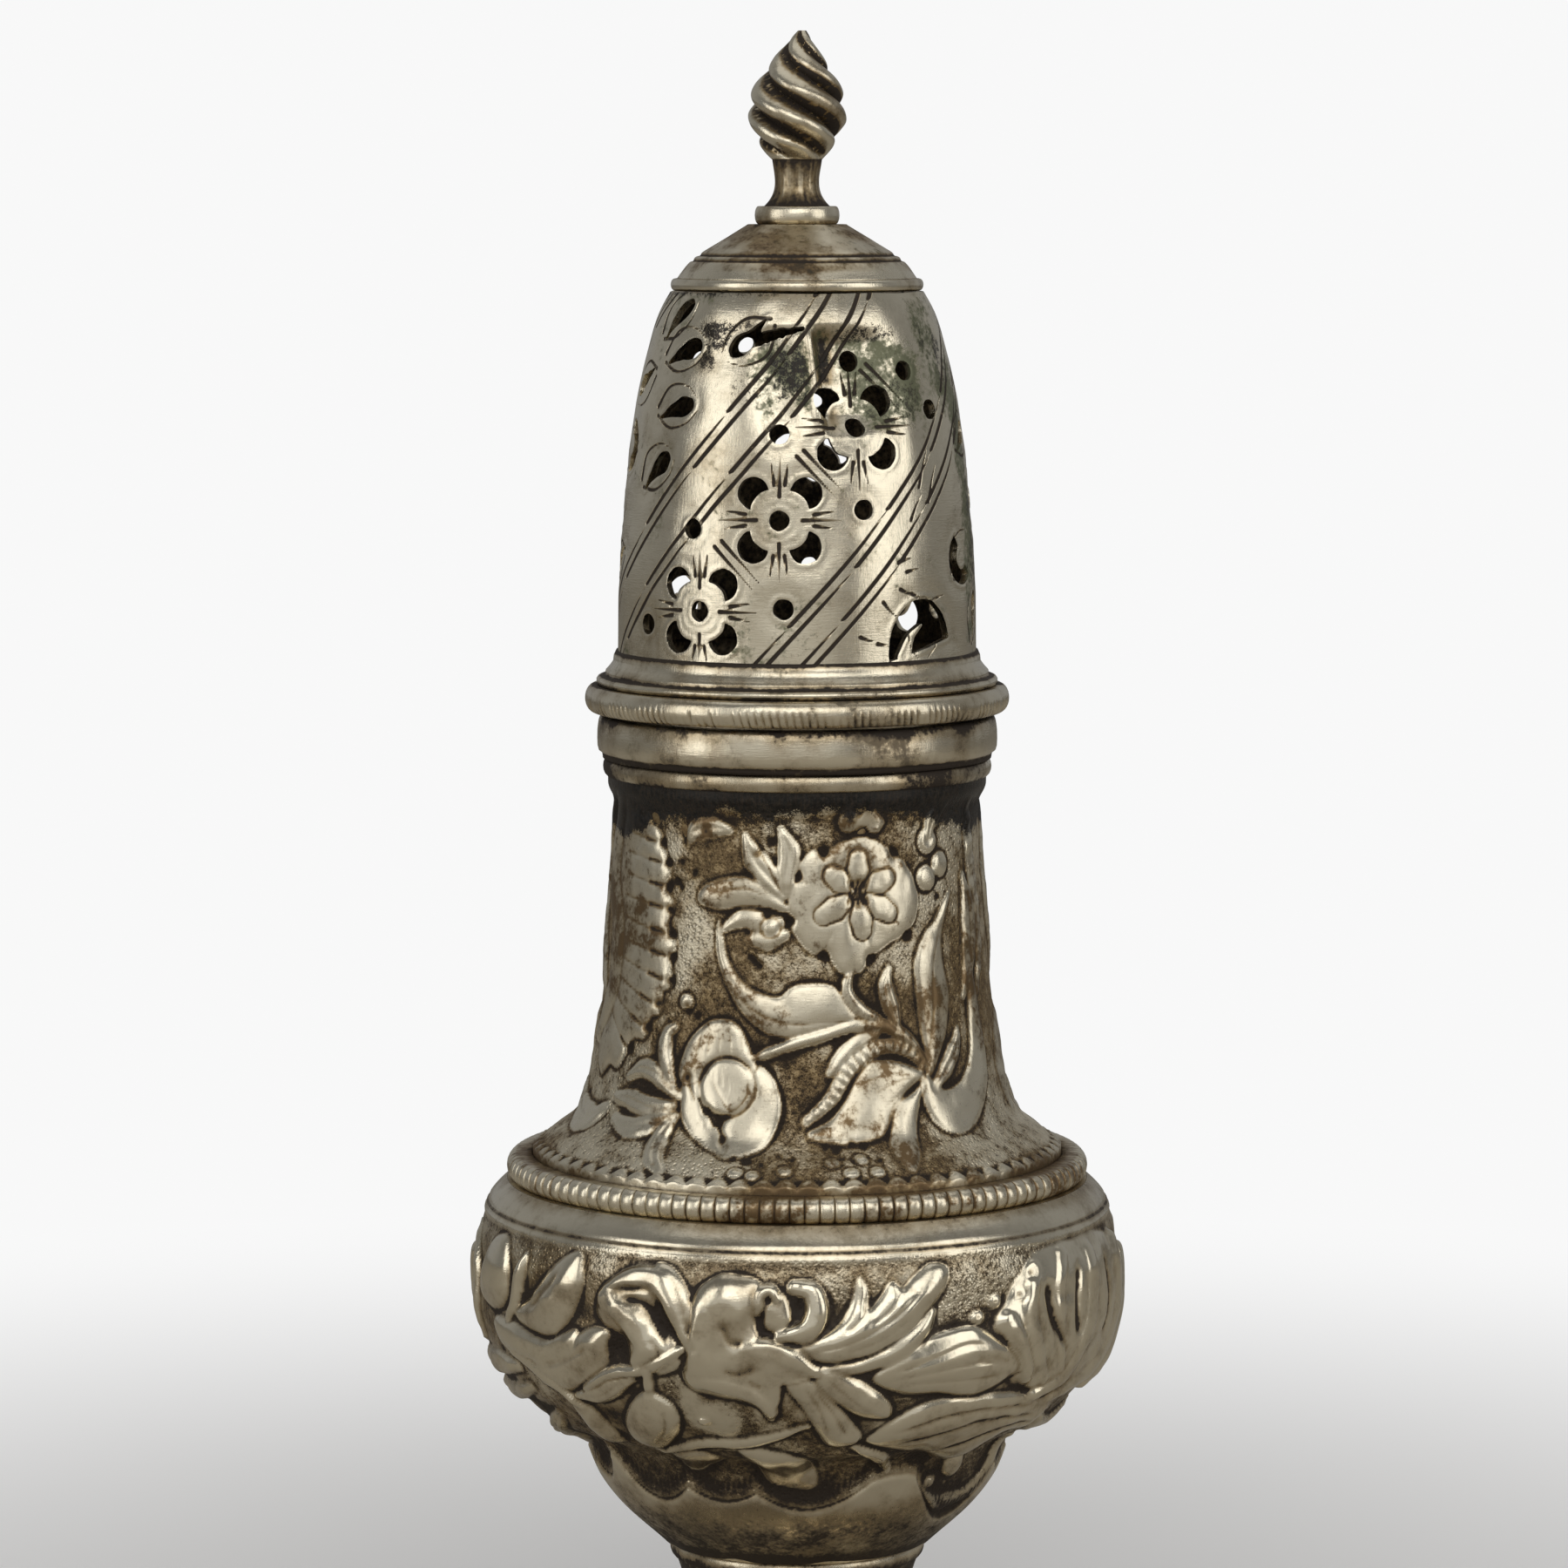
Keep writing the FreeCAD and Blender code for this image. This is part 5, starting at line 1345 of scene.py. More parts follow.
class CASTER_OT_dome(CasterPiece, bpy.types.Operator):
    """Pierced and engraved dome of the cover"""
    bl_idname = "caster.dome"
    bl_label = "Pierced dome"

    def score(self, relief, points):
        """Adds a stroke that narrows to its far end to the distances the finish draws."""
        cells, x, y, line = relief.window(points, 1.0)
        away, _, share = along(x, y, bent(line) if len(line) > 2 else line)
        self.nearest[cells] = np.minimum(self.nearest[cells], LINE_GAP + away + 0.13 * share)

    def engrave(self, relief):
        """Distance to the engraved lines, which the finish draws: leaning pairs, sprays of
        three strokes round the flowers and short curved strokes in the scroll panels."""
        up = (relief.level - Z_DOME) / (Z_CAP_WIRE - Z_DOME)
        self.nearest = np.full(relief.height.shape, 9.0)
        for place in (-47.5, -28.0, 36.0, 51.0):
            middle = lean(up) + place
            off = (relief.turn[None, :] - middle[:, None] + 90) % 180 - 90
            across = np.radians(off) * relief.radius[:, None] * 0.76
            stage = 3.2 * up[:, None] + 0.13 * place + 0.5 * (across > 0)
            taper = 0.16 * (stage - np.floor(stage)) ** 4
            self.nearest = np.minimum(self.nearest, LINE_GAP + np.abs(np.abs(across) - LINE_GAP) + taper)
        for share, turn in FLOWERS:
            middle = lean(share) + turn
            height = Z_DOME + share * (Z_CAP_WIRE - Z_DOME)
            for way in (0, 90, 180, 270):
                for slant in (-9, 0, 9):
                    heading = np.radians(way + slant)
                    near, far = (1.9, 5.2) if slant == 0 else (2.9, 4.7)
                    radius = np.interp(height, relief.level, relief.radius)
                    reach = np.array([near, far])
                    across = middle + np.degrees(reach * np.cos(heading) / radius)
                    self.score(relief, np.stack([across, height + reach * np.sin(heading)], axis=-1))
        for turn, height in ((-19, 102.5), (8, 109.9), (34, 117.0)):
            for shift in (-1.2, 1.2):
                tip = turn + 6 + shift, height - 1.7 + 0.2 * shift
                self.score(relief, ((turn - 7 + shift, height + 1.7 + 0.2 * shift), tip))
        for turn, height, slope in DASHES:
            self.score(relief, (turn, height, turn + 2.5, height + 0.6 * slope, turn + 5, height + slope))
        for share, turn, way in COMMAS + CRESCENTS:
            middle = lean(share) + 90 + turn
            height = Z_DOME + share * (Z_CAP_WIRE - Z_DOME)
            radius = np.interp(height, relief.level, relief.radius)
            for shift in (-1.5, 1.9):
                points = []
                for reach, bow in ((-2.3, 0.2), (-0.6, 1.0), (1.4, 0.9), (2.6, 0.3)):
                    x = reach * np.cos(np.radians(way)) - shift * bow * np.sin(np.radians(way))
                    y = reach * np.sin(np.radians(way)) + shift * bow * np.cos(np.radians(way))
                    points.append((middle + np.degrees(x / radius), height + y))
                self.score(relief, points)

    def holes(self, relief, part):
        """Least flat distance to any hole, - inside one; the back has no arch."""
        field = np.full(relief.height.shape, 9.0)
        rise = Z_CAP_WIRE - Z_DOME

        def lay(share, turn, rims):
            centre = (lean(share) + turn, Z_DOME + share * rise)
            cells, x, y, line = relief.window((centre, (centre[0], centre[1] + 0.01)), 5.6)
            field[cells] = np.minimum(field[cells], rims(x - line[0, 0], y - line[0, 1]))

        for share, turn in FLOWERS:
            lay(share, turn, lambda x, y: np.hypot(x, y) - 0.85)
            for way in (45, 135, 225, 315):
                lay(share, turn, lambda x, y: petal_rims(x, y, way))
        for share, turn in DRILLS:
            lay(share, turn, lambda x, y: np.hypot(x, y) - 0.85)
        for share, turn, way in COMMAS:
            lay(share, turn + 90, lambda x, y: 1.25 * comma_rims(x / 1.25, y / 1.25, way))
        for share, turn, way in CRESCENTS:
            arch = way == 270 and part == "front"
            rims = arch_rims if arch else crescent_rims
            grown = 1.32 if arch else 1.12
            lay(share, turn + 90, lambda x, y: grown * rims(x / grown, y / grown, way))
        return field + 0.1 * (mottled(field.shape, (60, 90), 31) - 0.5)

    def execute(self, context):
        """The outline turned round on a fine grid, engraved, dented, and cut through where
        the hole distance is below 0; a second skin inside and walls round every edge."""
        points = placed(DOME_SHARES, 10.725, radius_of("pierced_dome"), Z_DOME, Z_CAP_WIRE - Z_DOME)
        outline = Outline(points)
        relief = Relief(outline, Z_DOME, Z_CAP_WIRE, 245, 172)
        self.engrave(relief)
        rows, columns = relief.height.shape
        up = (relief.level - Z_DOME) / (Z_CAP_WIRE - Z_DOME)
        rise = 2.6 * np.cos(np.radians(relief.turn))[None, :] ** 2
        rise = rise * (eased(up, 0.0, 0.4) * (1 - eased(up, 0.5, 1.0)))[:, None] / relief.cell
        tarnish_and_shade, edge = stains(relief, relief.height, near_gain=0.3, far_gain=0.2, ink=0.75)
        wobble = 0.16 * mottled((rows, columns), (6, 10), 14) + 0.06 * mottled((rows, columns), (4, 30), 15)
        patina, copper = self.crusts(relief)
        wrap = np.concatenate([np.arange(columns), [0]])
        for part, start in HALVES:
            field = self.holes(relief, part)
            line = self.nearest
            if part == "back":
                field = slid(field, rise)
                line = slid(line, rise)
            near_hole = np.exp(-(np.maximum(field, 0) / 0.3) ** 2)
            height = relief.height - wobble
            height = height - 0.1 * (1 - near_hole) * np.exp(-(np.maximum(field, 0) / 1.1) ** 2)
            turn, run, field = self.snapped(relief, field)
            mine = {
                "turn": turn, "run": run, "height": height, "tarnish_and_shade": tarnish_and_shade, "edge": edge,
                "rim": near_hole, "patina": patina, "copper": copper, "line": line,
            }
            mine = {key: value[:, wrap].copy() for key, value in mine.items()}
            mine["turn"][:, -1] += HALF_TURN
            cut = field[:, wrap].copy()
            if part == "front":
                self.knock(mine, cut, relief)
            stack = np.stack([value.ravel() for value in mine.values()], axis=-1)
            values, triangles = clipped(stack, cut.ravel(), cut.shape)
            self.shell(part, outline, values, triangles, start)
        return {"FINISHED"}

    def snapped(self, relief, field):
        """Moves the grid's points that lie near a hole's edge onto it, down the slope of
        the distance, so that no cut triangle is a sliver."""
        across = np.gradient(np.concatenate([field[:, -2:], field, field[:, :2]], axis=1), axis=1)[:, 2:-2]
        across = across / (np.radians(HALF_TURN / field.shape[1]) * relief.radius[:, None])
        upward = np.gradient(field, axis=0) / relief.cell
        steep = np.maximum(across ** 2 + upward ** 2, 0.2)
        snap = np.abs(field) < 0.35 * relief.cell
        snap[[0, -1]] = False
        snap[:, 0] = False
        move = np.where(snap, -field / steep, 0.0)
        turn = relief.turn[None, :] + np.degrees(move * across / relief.radius[:, None])
        return turn, relief.run[:, None] + move * upward, np.where(snap, 0.0, field)

    def crusts(self, relief):
        """Where black crust and green salts lie: bells at their places, and a seam under
        the cap."""
        level = relief.level[:, None]
        turn = np.radians(relief.turn[None, :])
        patina = 0.55 * eased(level, 123.6, 124.4) * (0.4 + 0.6 * np.cos(turn + np.radians(50)) ** 2)
        copper = 0.45 * eased(level, 122.6, 124.2) * np.cos(turn + np.radians(60)) ** 2

        for field, places in ((patina, BLACK_PLACES), (copper, GREEN_PLACES)):
            for middle, height, wide, tall, much in places:
                off = np.radians((relief.turn[None, :] - middle + 90) % 180 - 90) * relief.radius[:, None]
                bell = np.exp(-(off / wide) ** 4 - ((level - height) / tall) ** 4)
                np.maximum(field, much * bell, out=field)
        return np.maximum(patina, 0.46 * copper), copper

    def knock(self, mine, cut, relief):
        """The front's damage: a long dent with a sharp crease at its left, a painted highlight
        along the crease's crest and painted shade on the slope to its right, and a torn slit
        along the top of the left flower's lean."""
        level = relief.level[:, None]
        angle = mine["turn"]
        arc = np.radians(angle - 6.5) * relief.radius[:, None]
        arc = arc + 0.1 * (level - 118.0)
        tall = eased(level, 112.6, 115.2) * (1 - eased(level, 120.6, 122.2))
        hollow = np.where(arc > 0, np.exp(-(np.maximum(arc - 1.4, 0) / 4.2) ** 2) * eased(arc, 0.0, 0.8), 0.0)
        hollow = hollow + 0.3 * np.exp(-((arc + 3.2) / 1.9) ** 2)
        mine["height"] -= self.sizes.dent / MM * tall * hollow
        mine["height"] += 0.34 * tall * np.exp(-((arc + 0.15) / 0.36) ** 2)
        # Painted highlight along the crest of the crease, kept clear of crust and salts.
        painted_crease_highlight = tall * np.exp(-((arc + 0.1) / 0.3) ** 2)
        mine["edge"] = np.maximum(mine["edge"], painted_crease_highlight)
        mine["patina"] *= 1 - painted_crease_highlight
        mine["copper"] *= 1 - painted_crease_highlight
        # Painted shade on the sunken slope to the right of the crease.
        mine["tarnish_and_shade"] = np.clip(mine["tarnish_and_shade"] + 0.8 * tall * np.exp(-((arc - 1.1) / 0.8) ** 2), 0, 1)
        line = np.radians(np.array([-26.0, -19.0, -12.0, -4.0, 2.0])) * 12.0
        rise = np.interp([119.9, 120.5, 121.1, 121.5, 121.7], relief.level, relief.run)
        path = np.stack([line, rise], axis=-1)
        x = np.radians(angle) * 12.0
        y = np.broadcast_to(relief.run[:, None], x.shape)
        away, _, share = along(x, y, path)
        ragged = mottled(cut.shape, (90, 120), 41)
        half = (0.62 - 0.25 * share) * np.sin(np.pi * np.clip(share, 0.05, 0.95)) ** 0.5
        slit = away - half - 0.22 * (ragged - 0.5)
        torn = (np.abs(cut) > 0) & (slit < cut)
        cut[torn] = slit[torn]
        mine["rim"] = np.maximum(mine["rim"], np.exp(-(np.maximum(slit, 0) / 0.3) ** 2))

    def shell(self, part, outline, values, triangles, start):
        """Outer skin, inner skin and a wall along every edge that has one triangle."""
        turn, run, height, tarnish_and_shade, edge, rim, patina, copper, line = values.T
        gauge = self.sizes.gauge / MM
        outer = outline.place(turn + start, run, height - 0.09 * rim ** 4)
        inner = outline.place(turn + start, run, np.minimum(height, 0) * 0.8 - gauge)
        count = len(outer)
        sides = np.concatenate([triangles[:, [0, 1]], triangles[:, [1, 2]], triangles[:, [2, 0]]])
        forward = sides[:, 0].astype(np.int64) * count + sides[:, 1]
        backward = sides[:, 1].astype(np.int64) * count + sides[:, 0]
        open_sides = sides[~np.isin(forward, backward)]
        a, b = open_sides.T
        walls = np.stack([b, a, a + count, b + count], axis=-1)
        crisp = np.zeros(2 * count, int)
        crisp[a] = 1
        crisp[a + count] = 2
        layers = {
            "tarnish_and_shade": np.concatenate([np.clip(tarnish_and_shade - 0.5 * rim, 0, 1), np.full(count, 0.75)]),
            "edge": np.concatenate([np.maximum(edge, rim), 0.2 * rim]),
            "patina": np.concatenate([patina * (1 - 0.4 * rim), np.full(count, 0.25)]),
            "copper": np.concatenate([copper, np.zeros(count)]),
            "line": np.concatenate([line, np.full(count, 9.0)]),
        }
        faces = [triangles, triangles[:, ::-1] + count, walls]
        put(f"dome_{part}", np.concatenate([outer, inner]), faces, "pierced_dome", "dome", layers, crisp)


def arc_section(bore, radius, base, top, bulge, steps=9):
    """Section of a wire: straight inside, and outside half an ellipse that stands out by
    `bulge` between its two edges."""
    swing = np.radians(np.linspace(-90, 90, steps))
    across = radius - bulge + bulge * np.cos(swing)
    up = 0.5 * (base + top) + 0.5 * (top - base) * np.sin(swing)
    return [(bore, base), *zip(across, up), (bore, top)]


def wire_surface(name, section, node, kind, cut, stain):
    """A wire: its section carried round the axis, each point drawn in by `cut`, a grid of
    depths over the section's points and the turn's angles."""
    section = np.array(section, float)
    points, faces = carried(section[:, :1] - cut, section[:, 1:])
    layers = {"tarnish_and_shade": np.clip(stain, 0, 1), "edge": np.clip(0.5 - stain, 0, 1)}
    return put(name, points, [faces], node, kind, layers)


class CASTER_OT_girdle(CasterPiece, bpy.types.Operator):
    """Reeded girdle wire on the bowl's shoulder"""
    bl_idname = "caster.girdle"
    bl_label = "Girdle wire"

    def execute(self, context):
        """A half-round wire cut by upright grooves: the depth of a groove is a power of
        the sine of the angle, least on the ridge, and fades at the wire's two edges."""
        outer = radius_of("girdle_wire")
        bore = outer - (Z_GIRDLE_TOP - Z_SHOULDER)
        section = arc_section(bore, outer, Z_SHOULDER, Z_GIRDLE_TOP, 0.85, 13)
        reeds = self.sizes.reeds
        columns = reeds * 12
        turn = np.arange(columns) * 2 * np.pi / columns
        uneven = 0.75 + 0.5 * mottled((2, columns), (2, 61), 6)[0]
        wave = np.abs(np.cos(0.5 * reeds * turn))
        groove = (1 - wave ** 0.34) ** 1.1
        profile = np.array([0] + [np.cos(np.radians(one)) ** 0.35 for one in np.linspace(-88, 88, 13)] + [0])
        depth = self.sizes.reed_depth / MM
        cut = depth * profile[:, None] * (groove * uneven)[None, :]
        stain = profile[:, None] * (eased(groove, 0.22, 0.6))[None, :]
        stain = stain + 0.7 * (np.abs(np.linspace(-1, 1, 15)) ** 6)[:, None]
        wire_surface("girdle_reeds", section, "girdle_wire", "neck", cut, stain)
        return {"FINISHED"}


class CASTER_OT_foot(CasterPiece, bpy.types.Operator):
    """Pedestal foot, its rim wire and its collar"""
    bl_idname = "caster.foot"
    bl_label = "Foot"

    def frieze(self, relief):
        """Lobes side by side round the foot's slope, with a leaf between each pair."""
        for place in range(9):
            turn = -90 + 20 * place
            relief.rod((0.5, 1.5, 1.9, 1.4), 0.95, (turn, 8.3, turn, 6.9, turn, 5.2), 0.25)
            relief.cut(((turn, 8.0), (turn, 5.0)), width=0.12, depth=0.14)
            turn += 10
            relief.stroke("leaf", (0.3, 0.9, 0.3), 0.7, (turn, 9.0, turn, 7.2, turn, 5.4), count=3)
            relief.pit((turn, 4.6), 0.3, 0.25)

    def execute(self, context):
        """The pedestal's outline turned round, with a chased frieze sunk in its slope; its
        rim wire and collar are turned sections."""
        wide = radius_of("foot")
        rise = Z_STEM
        points = placed(FOOT_SHARES, 9.5, wide, 1.6, rise - 1.6)
        outline = Outline(points)
        outline.radius = np.minimum(outline.radius, wide)
        relief = Relief(outline, 1.6, rise, 330, 120)
        self.frieze(relief)
        level = relief.level[:, None]
        inside = eased(level, 4.0, 4.6) * (1 - eased(level, 8.9, 9.6))
        proud = inside * 0.5 * (np.minimum(relief.height, 1.0) - 1.0)
        relief.ink *= inside
        for line in (3.6, 10.1, 10.5):
            proud = proud - 0.12 * np.exp(-((level - line) / 0.14) ** 2)
        proud = proud - 0.08 * mottled(proud.shape, (5, 12), 17)
        tarnish_and_shade, edge = stains(relief, proud)
        tarnish_and_shade = np.clip(tarnish_and_shade + 0.75 * eased(level, 13.0, 16.6) + 0.1, 0, 1)
        layers = {"tarnish_and_shade": tarnish_and_shade, "edge": edge, "matting": inside * eased(0.2 - relief.height, 0, 0.2)}
        wall = -1.15 * np.ones(len(relief.run))
        half_walls("foot", relief, proud, layers, wall, "bowl")

        rim = radius_of("foot_rim_wire")
        section = arc_section(rim - 1.5, rim, 0.0, 1.6, 0.55, 9)
        columns = 720
        nicks = 0.05 * mottled((11, columns), (4, 160), 19) + 0.06 * mottled((11, columns), (3, 24), 20)
        shade = np.linspace(0.45, 0.15, 11)[:, None] + 0.4 * mottled((11, columns), (3, 40), 18)
        wire_surface("foot_rim", section, "foot_rim_wire", "wire", nicks, shade)

        collar = radius_of("foot_collar")
        section = arc_section(collar - 1.2, collar, Z_STEM, Z_BOWL, 0.375, 9)
        wear_and_highlight = np.exp(-((np.arange(11) - 6) / 1.5) ** 2)[:, None]
        stain = 0.75 + 0.3 * mottled((11, 360), (3, 30), 23) - 0.5 * wear_and_highlight
        wire_surface("foot_collar_ring", section, "foot_collar", "wire",
                     0.03 * mottled((11, 360), (3, 50), 24), stain)
        return {"FINISHED"}


class CASTER_OT_lip(CasterPiece, bpy.types.Operator):
    """Reed and band round the neck's lip"""
    bl_idname = "caster.lip"
    bl_label = "Lip"

    def execute(self, context):
        """Two wires on the neck: a half-round reed, and a broad band with its corners
        broken over a narrow groove."""
        neck = radius_of("lip_reed") - 0.45
        reed = arc_section(neck, radius_of("lip_reed"), Z_REED, Z_BAND, 0.43, 9)
        slow = mottled((11, 480), (2, 30), 26)
        stain = 0.5 + 0.6 * np.abs(np.linspace(-1, 1, 11)[:, None]) ** 3 + 0.9 * (slow - 0.5)
        wire_surface("lip_reed_ring", reed, "lip_reed", "wire", 0.04 * slow, stain)

        outer = radius_of("lip_band")
        low, top = Z_BAND, Z_LIP
        section = [
            (neck, low), (outer - 0.5, low), (outer - 0.46, low + 0.28), (outer - 0.42, low + 0.46),
            (outer - 0.12, low + 0.68), (outer - 0.03, low + 1.0), (outer, low + 1.6),
            (outer - 0.02, low + 2.3), (outer - 0.08, top - 0.8), (outer - 0.14, top - 0.45),
            (outer - 0.24, top - 0.18), (outer - 0.42, top - 0.03), (neck + 0.2, top), (neck, top),
        ]
        columns = 720
        dings = 0.05 * mottled((14, columns), (3, 34), 27) + 0.02 * mottled((14, columns), (8, 150), 28)
        dings[[0, 12, 13]] = 0
        up = np.array([0.9, 0.95, 1.0, 0.9, 0.28, 0.12, 0.1, 0.2, 0.42, 0.55, 0.66, 0.6, 0.6, 0.6])[:, None]
        stain = up + 0.35 * (mottled((14, columns), (5, 60), 29) - 0.5)
        wire_surface("lip_band_ring", section, "lip_band", "wire", dings, stain)
        return {"FINISHED"}


class CASTER_OT_cover_rings(CasterPiece, bpy.types.Operator):
    """Sleeve, nicked edge wire and stepped moulding of the cover"""
    bl_idname = "caster.cover_rings"
    bl_label = "Cover rings"

    def execute(self, context):
        """Turned sections; the edge wire's lower half is cut by short slanting nicks, a
        sine of the angle and the height together."""
        outer = radius_of("cover_sleeve")
        gauge = 0.55
        low = low_of("cover_sleeve")
        top = high_of("cover_sleeve")
        section = [
            (outer - gauge, low, 1), (outer - gauge / 2, low, 1), (outer, low + gauge / 2, 1),
            (outer, top, 1), (outer - gauge, top, 1),
        ]
        turned("sleeve", section, 240, "cover_sleeve", "inside", [0.4, 0.35, 0.2, 0.5, 0.6])

        edge = radius_of("cover_edge_wire")
        section = arc_section(outer, edge, Z_EDGE, Z_MOULDING, 0.73, 15)
        columns = 1800
        turn = np.arange(columns)[None, :] * 2 * np.pi / columns
        up = np.linspace(-1, 1, 17)[:, None]
        uneven = mottled((17, columns), (3, 110), 33)
        slant = np.abs(np.sin(88 * turn + 1.5 * up)) ** 5
        below = eased(-up, -0.25, 0.35) * (1 - eased(-up, 0.86, 1.0))
        nicks = 0.2 * slant * below * eased(uneven, 0.3, 0.62)
        nicks = nicks + 0.05 * mottled((17, columns), (3, 40), 34)
        nicks[[0, -1]] = 0
        grime = eased(mottled((17, columns), (4, 36), 35), 0.42, 0.8)
        stain = 0.1 + 0.75 * slant * below * uneven + 0.55 * grime * eased(np.abs(up), 0.2, 1.0)
        stain = stain + 0.8 * np.abs(up) ** 5
        wire_surface("edge_wire", section, "cover_edge_wire", "wire", nicks, stain)

        wall = radius_of("pierced_dome")
        bead = radius_of("cover_moulding")
        cove = wall + (edge - wall) * 0.34
        z = Z_MOULDING
        section = [
            (wall - 0.7, z), (bead - 0.3, z), (bead - 0.1, z + 0.1), (bead, z + 0.35), (bead, z + 0.5),
            (bead - 0.12, z + 0.68), (bead - 0.34, z + 0.76), (cove + 0.1, z + 0.8), (cove - 0.04, z + 0.92),
            (cove, z + 1.1), (cove - 0.03, z + 1.22), (cove - 0.22, z + 1.42), (cove - 0.42, z + 1.66),
            (wall + 0.24, z + 2.0), (wall + 0.22, z + 2.25), (wall + 0.19, z + 2.5), (wall + 0.08, z + 2.72),
            (wall, z + 2.9), (wall - 0.7, z + 2.9),
        ]
        section = [(min(radius, bead), height) for radius, height in section]
        stains_up = (
            0.7, 0.8, 0.3, 0.0, 0.0, 0.3, 0.95, 1.0, 0.7, 0.35,
            0.25, 0.2, 0.05, 0.0, 0.15, 0.4, 0.95, 1.0, 0.8,
        )
        columns = 480
        slow = mottled((19, columns), (5, 40), 36)
        stain = np.array(stains_up)[:, None] + 0.4 * (slow - 0.5)
        cut = 0.04 * slow
        cut[[0, -1]] = 0
        wire_surface("moulding", section, "cover_moulding", "wire", cut, stain)
        return {"FINISHED"}


class CASTER_OT_cap(CasterPiece, bpy.types.Operator):
    """Low bell cap with its rim wire"""
    bl_idname = "caster.cap"
    bl_label = "Cap"

    def execute(self, context):
        """A turned bell with two engraved lines, hollow below, on a half-round wire."""
        seat = radius_of("dome_cap")
        base, top = Z_CAP, Z_COLLAR
        outline = Outline(placed(CAP_SHARES, 4.1, seat, base, top - base))
        run = np.linspace(0, outline.length[-1], 60)
        radius, height = outline.at(run)
        cuts = sum(0.13 * np.exp(-((height - line) / 0.11) ** 2) for line in (127.5, 127.05))
        out = np.interp(run, outline.length, outline.out)
        up = np.interp(run, outline.length, outline.up)
        outer = np.stack([radius - cuts * out, height - cuts * up], axis=-1)
        inner = np.stack([radius[::6] - 0.7 * out[::6], height[::6] - 0.7 * up[::6]], axis=-1)[1:-1][::-1]
        rows = [*outer, (1.2, top), (1.2, top - 0.7), *inner, (seat - 0.7, base)]
        columns = 300
        stain = np.concatenate([
            0.25 + 0.25 * eased(height, 127.6, 129.6) + 6.0 * cuts, [0.6, 0.6], np.full(len(inner) + 1, 0.7),
        ])[:, None] + 0.3 * (mottled((len(rows), columns), (9, 22), 43) - 0.5)
        edge = 0.55 * np.exp(-((np.arange(len(rows)) - 3) / 3.0) ** 2)[:, None]
        wobble = 0.05 * mottled((len(rows), columns), (6, 12), 44) * (np.arange(len(rows)) < 58)[:, None]
        wire_surface("cap", rows, "dome_cap", "cap", wobble, stain - edge)
        rim = radius_of("cap_rim_wire")
        section = arc_section(rim - 1.45, rim, Z_CAP_WIRE, Z_CAP, 0.33, 9)
        slow = mottled((11, 360), (3, 40), 45)
        stain = 0.1 + 0.8 * np.abs(np.linspace(-1, 1, 11)[:, None]) ** 3 + 0.3 * (slow - 0.5)
        wire_surface("cap_rim", section, "cap_rim_wire", "wire", 0.03 * slow, stain)
        return {"FINISHED"}


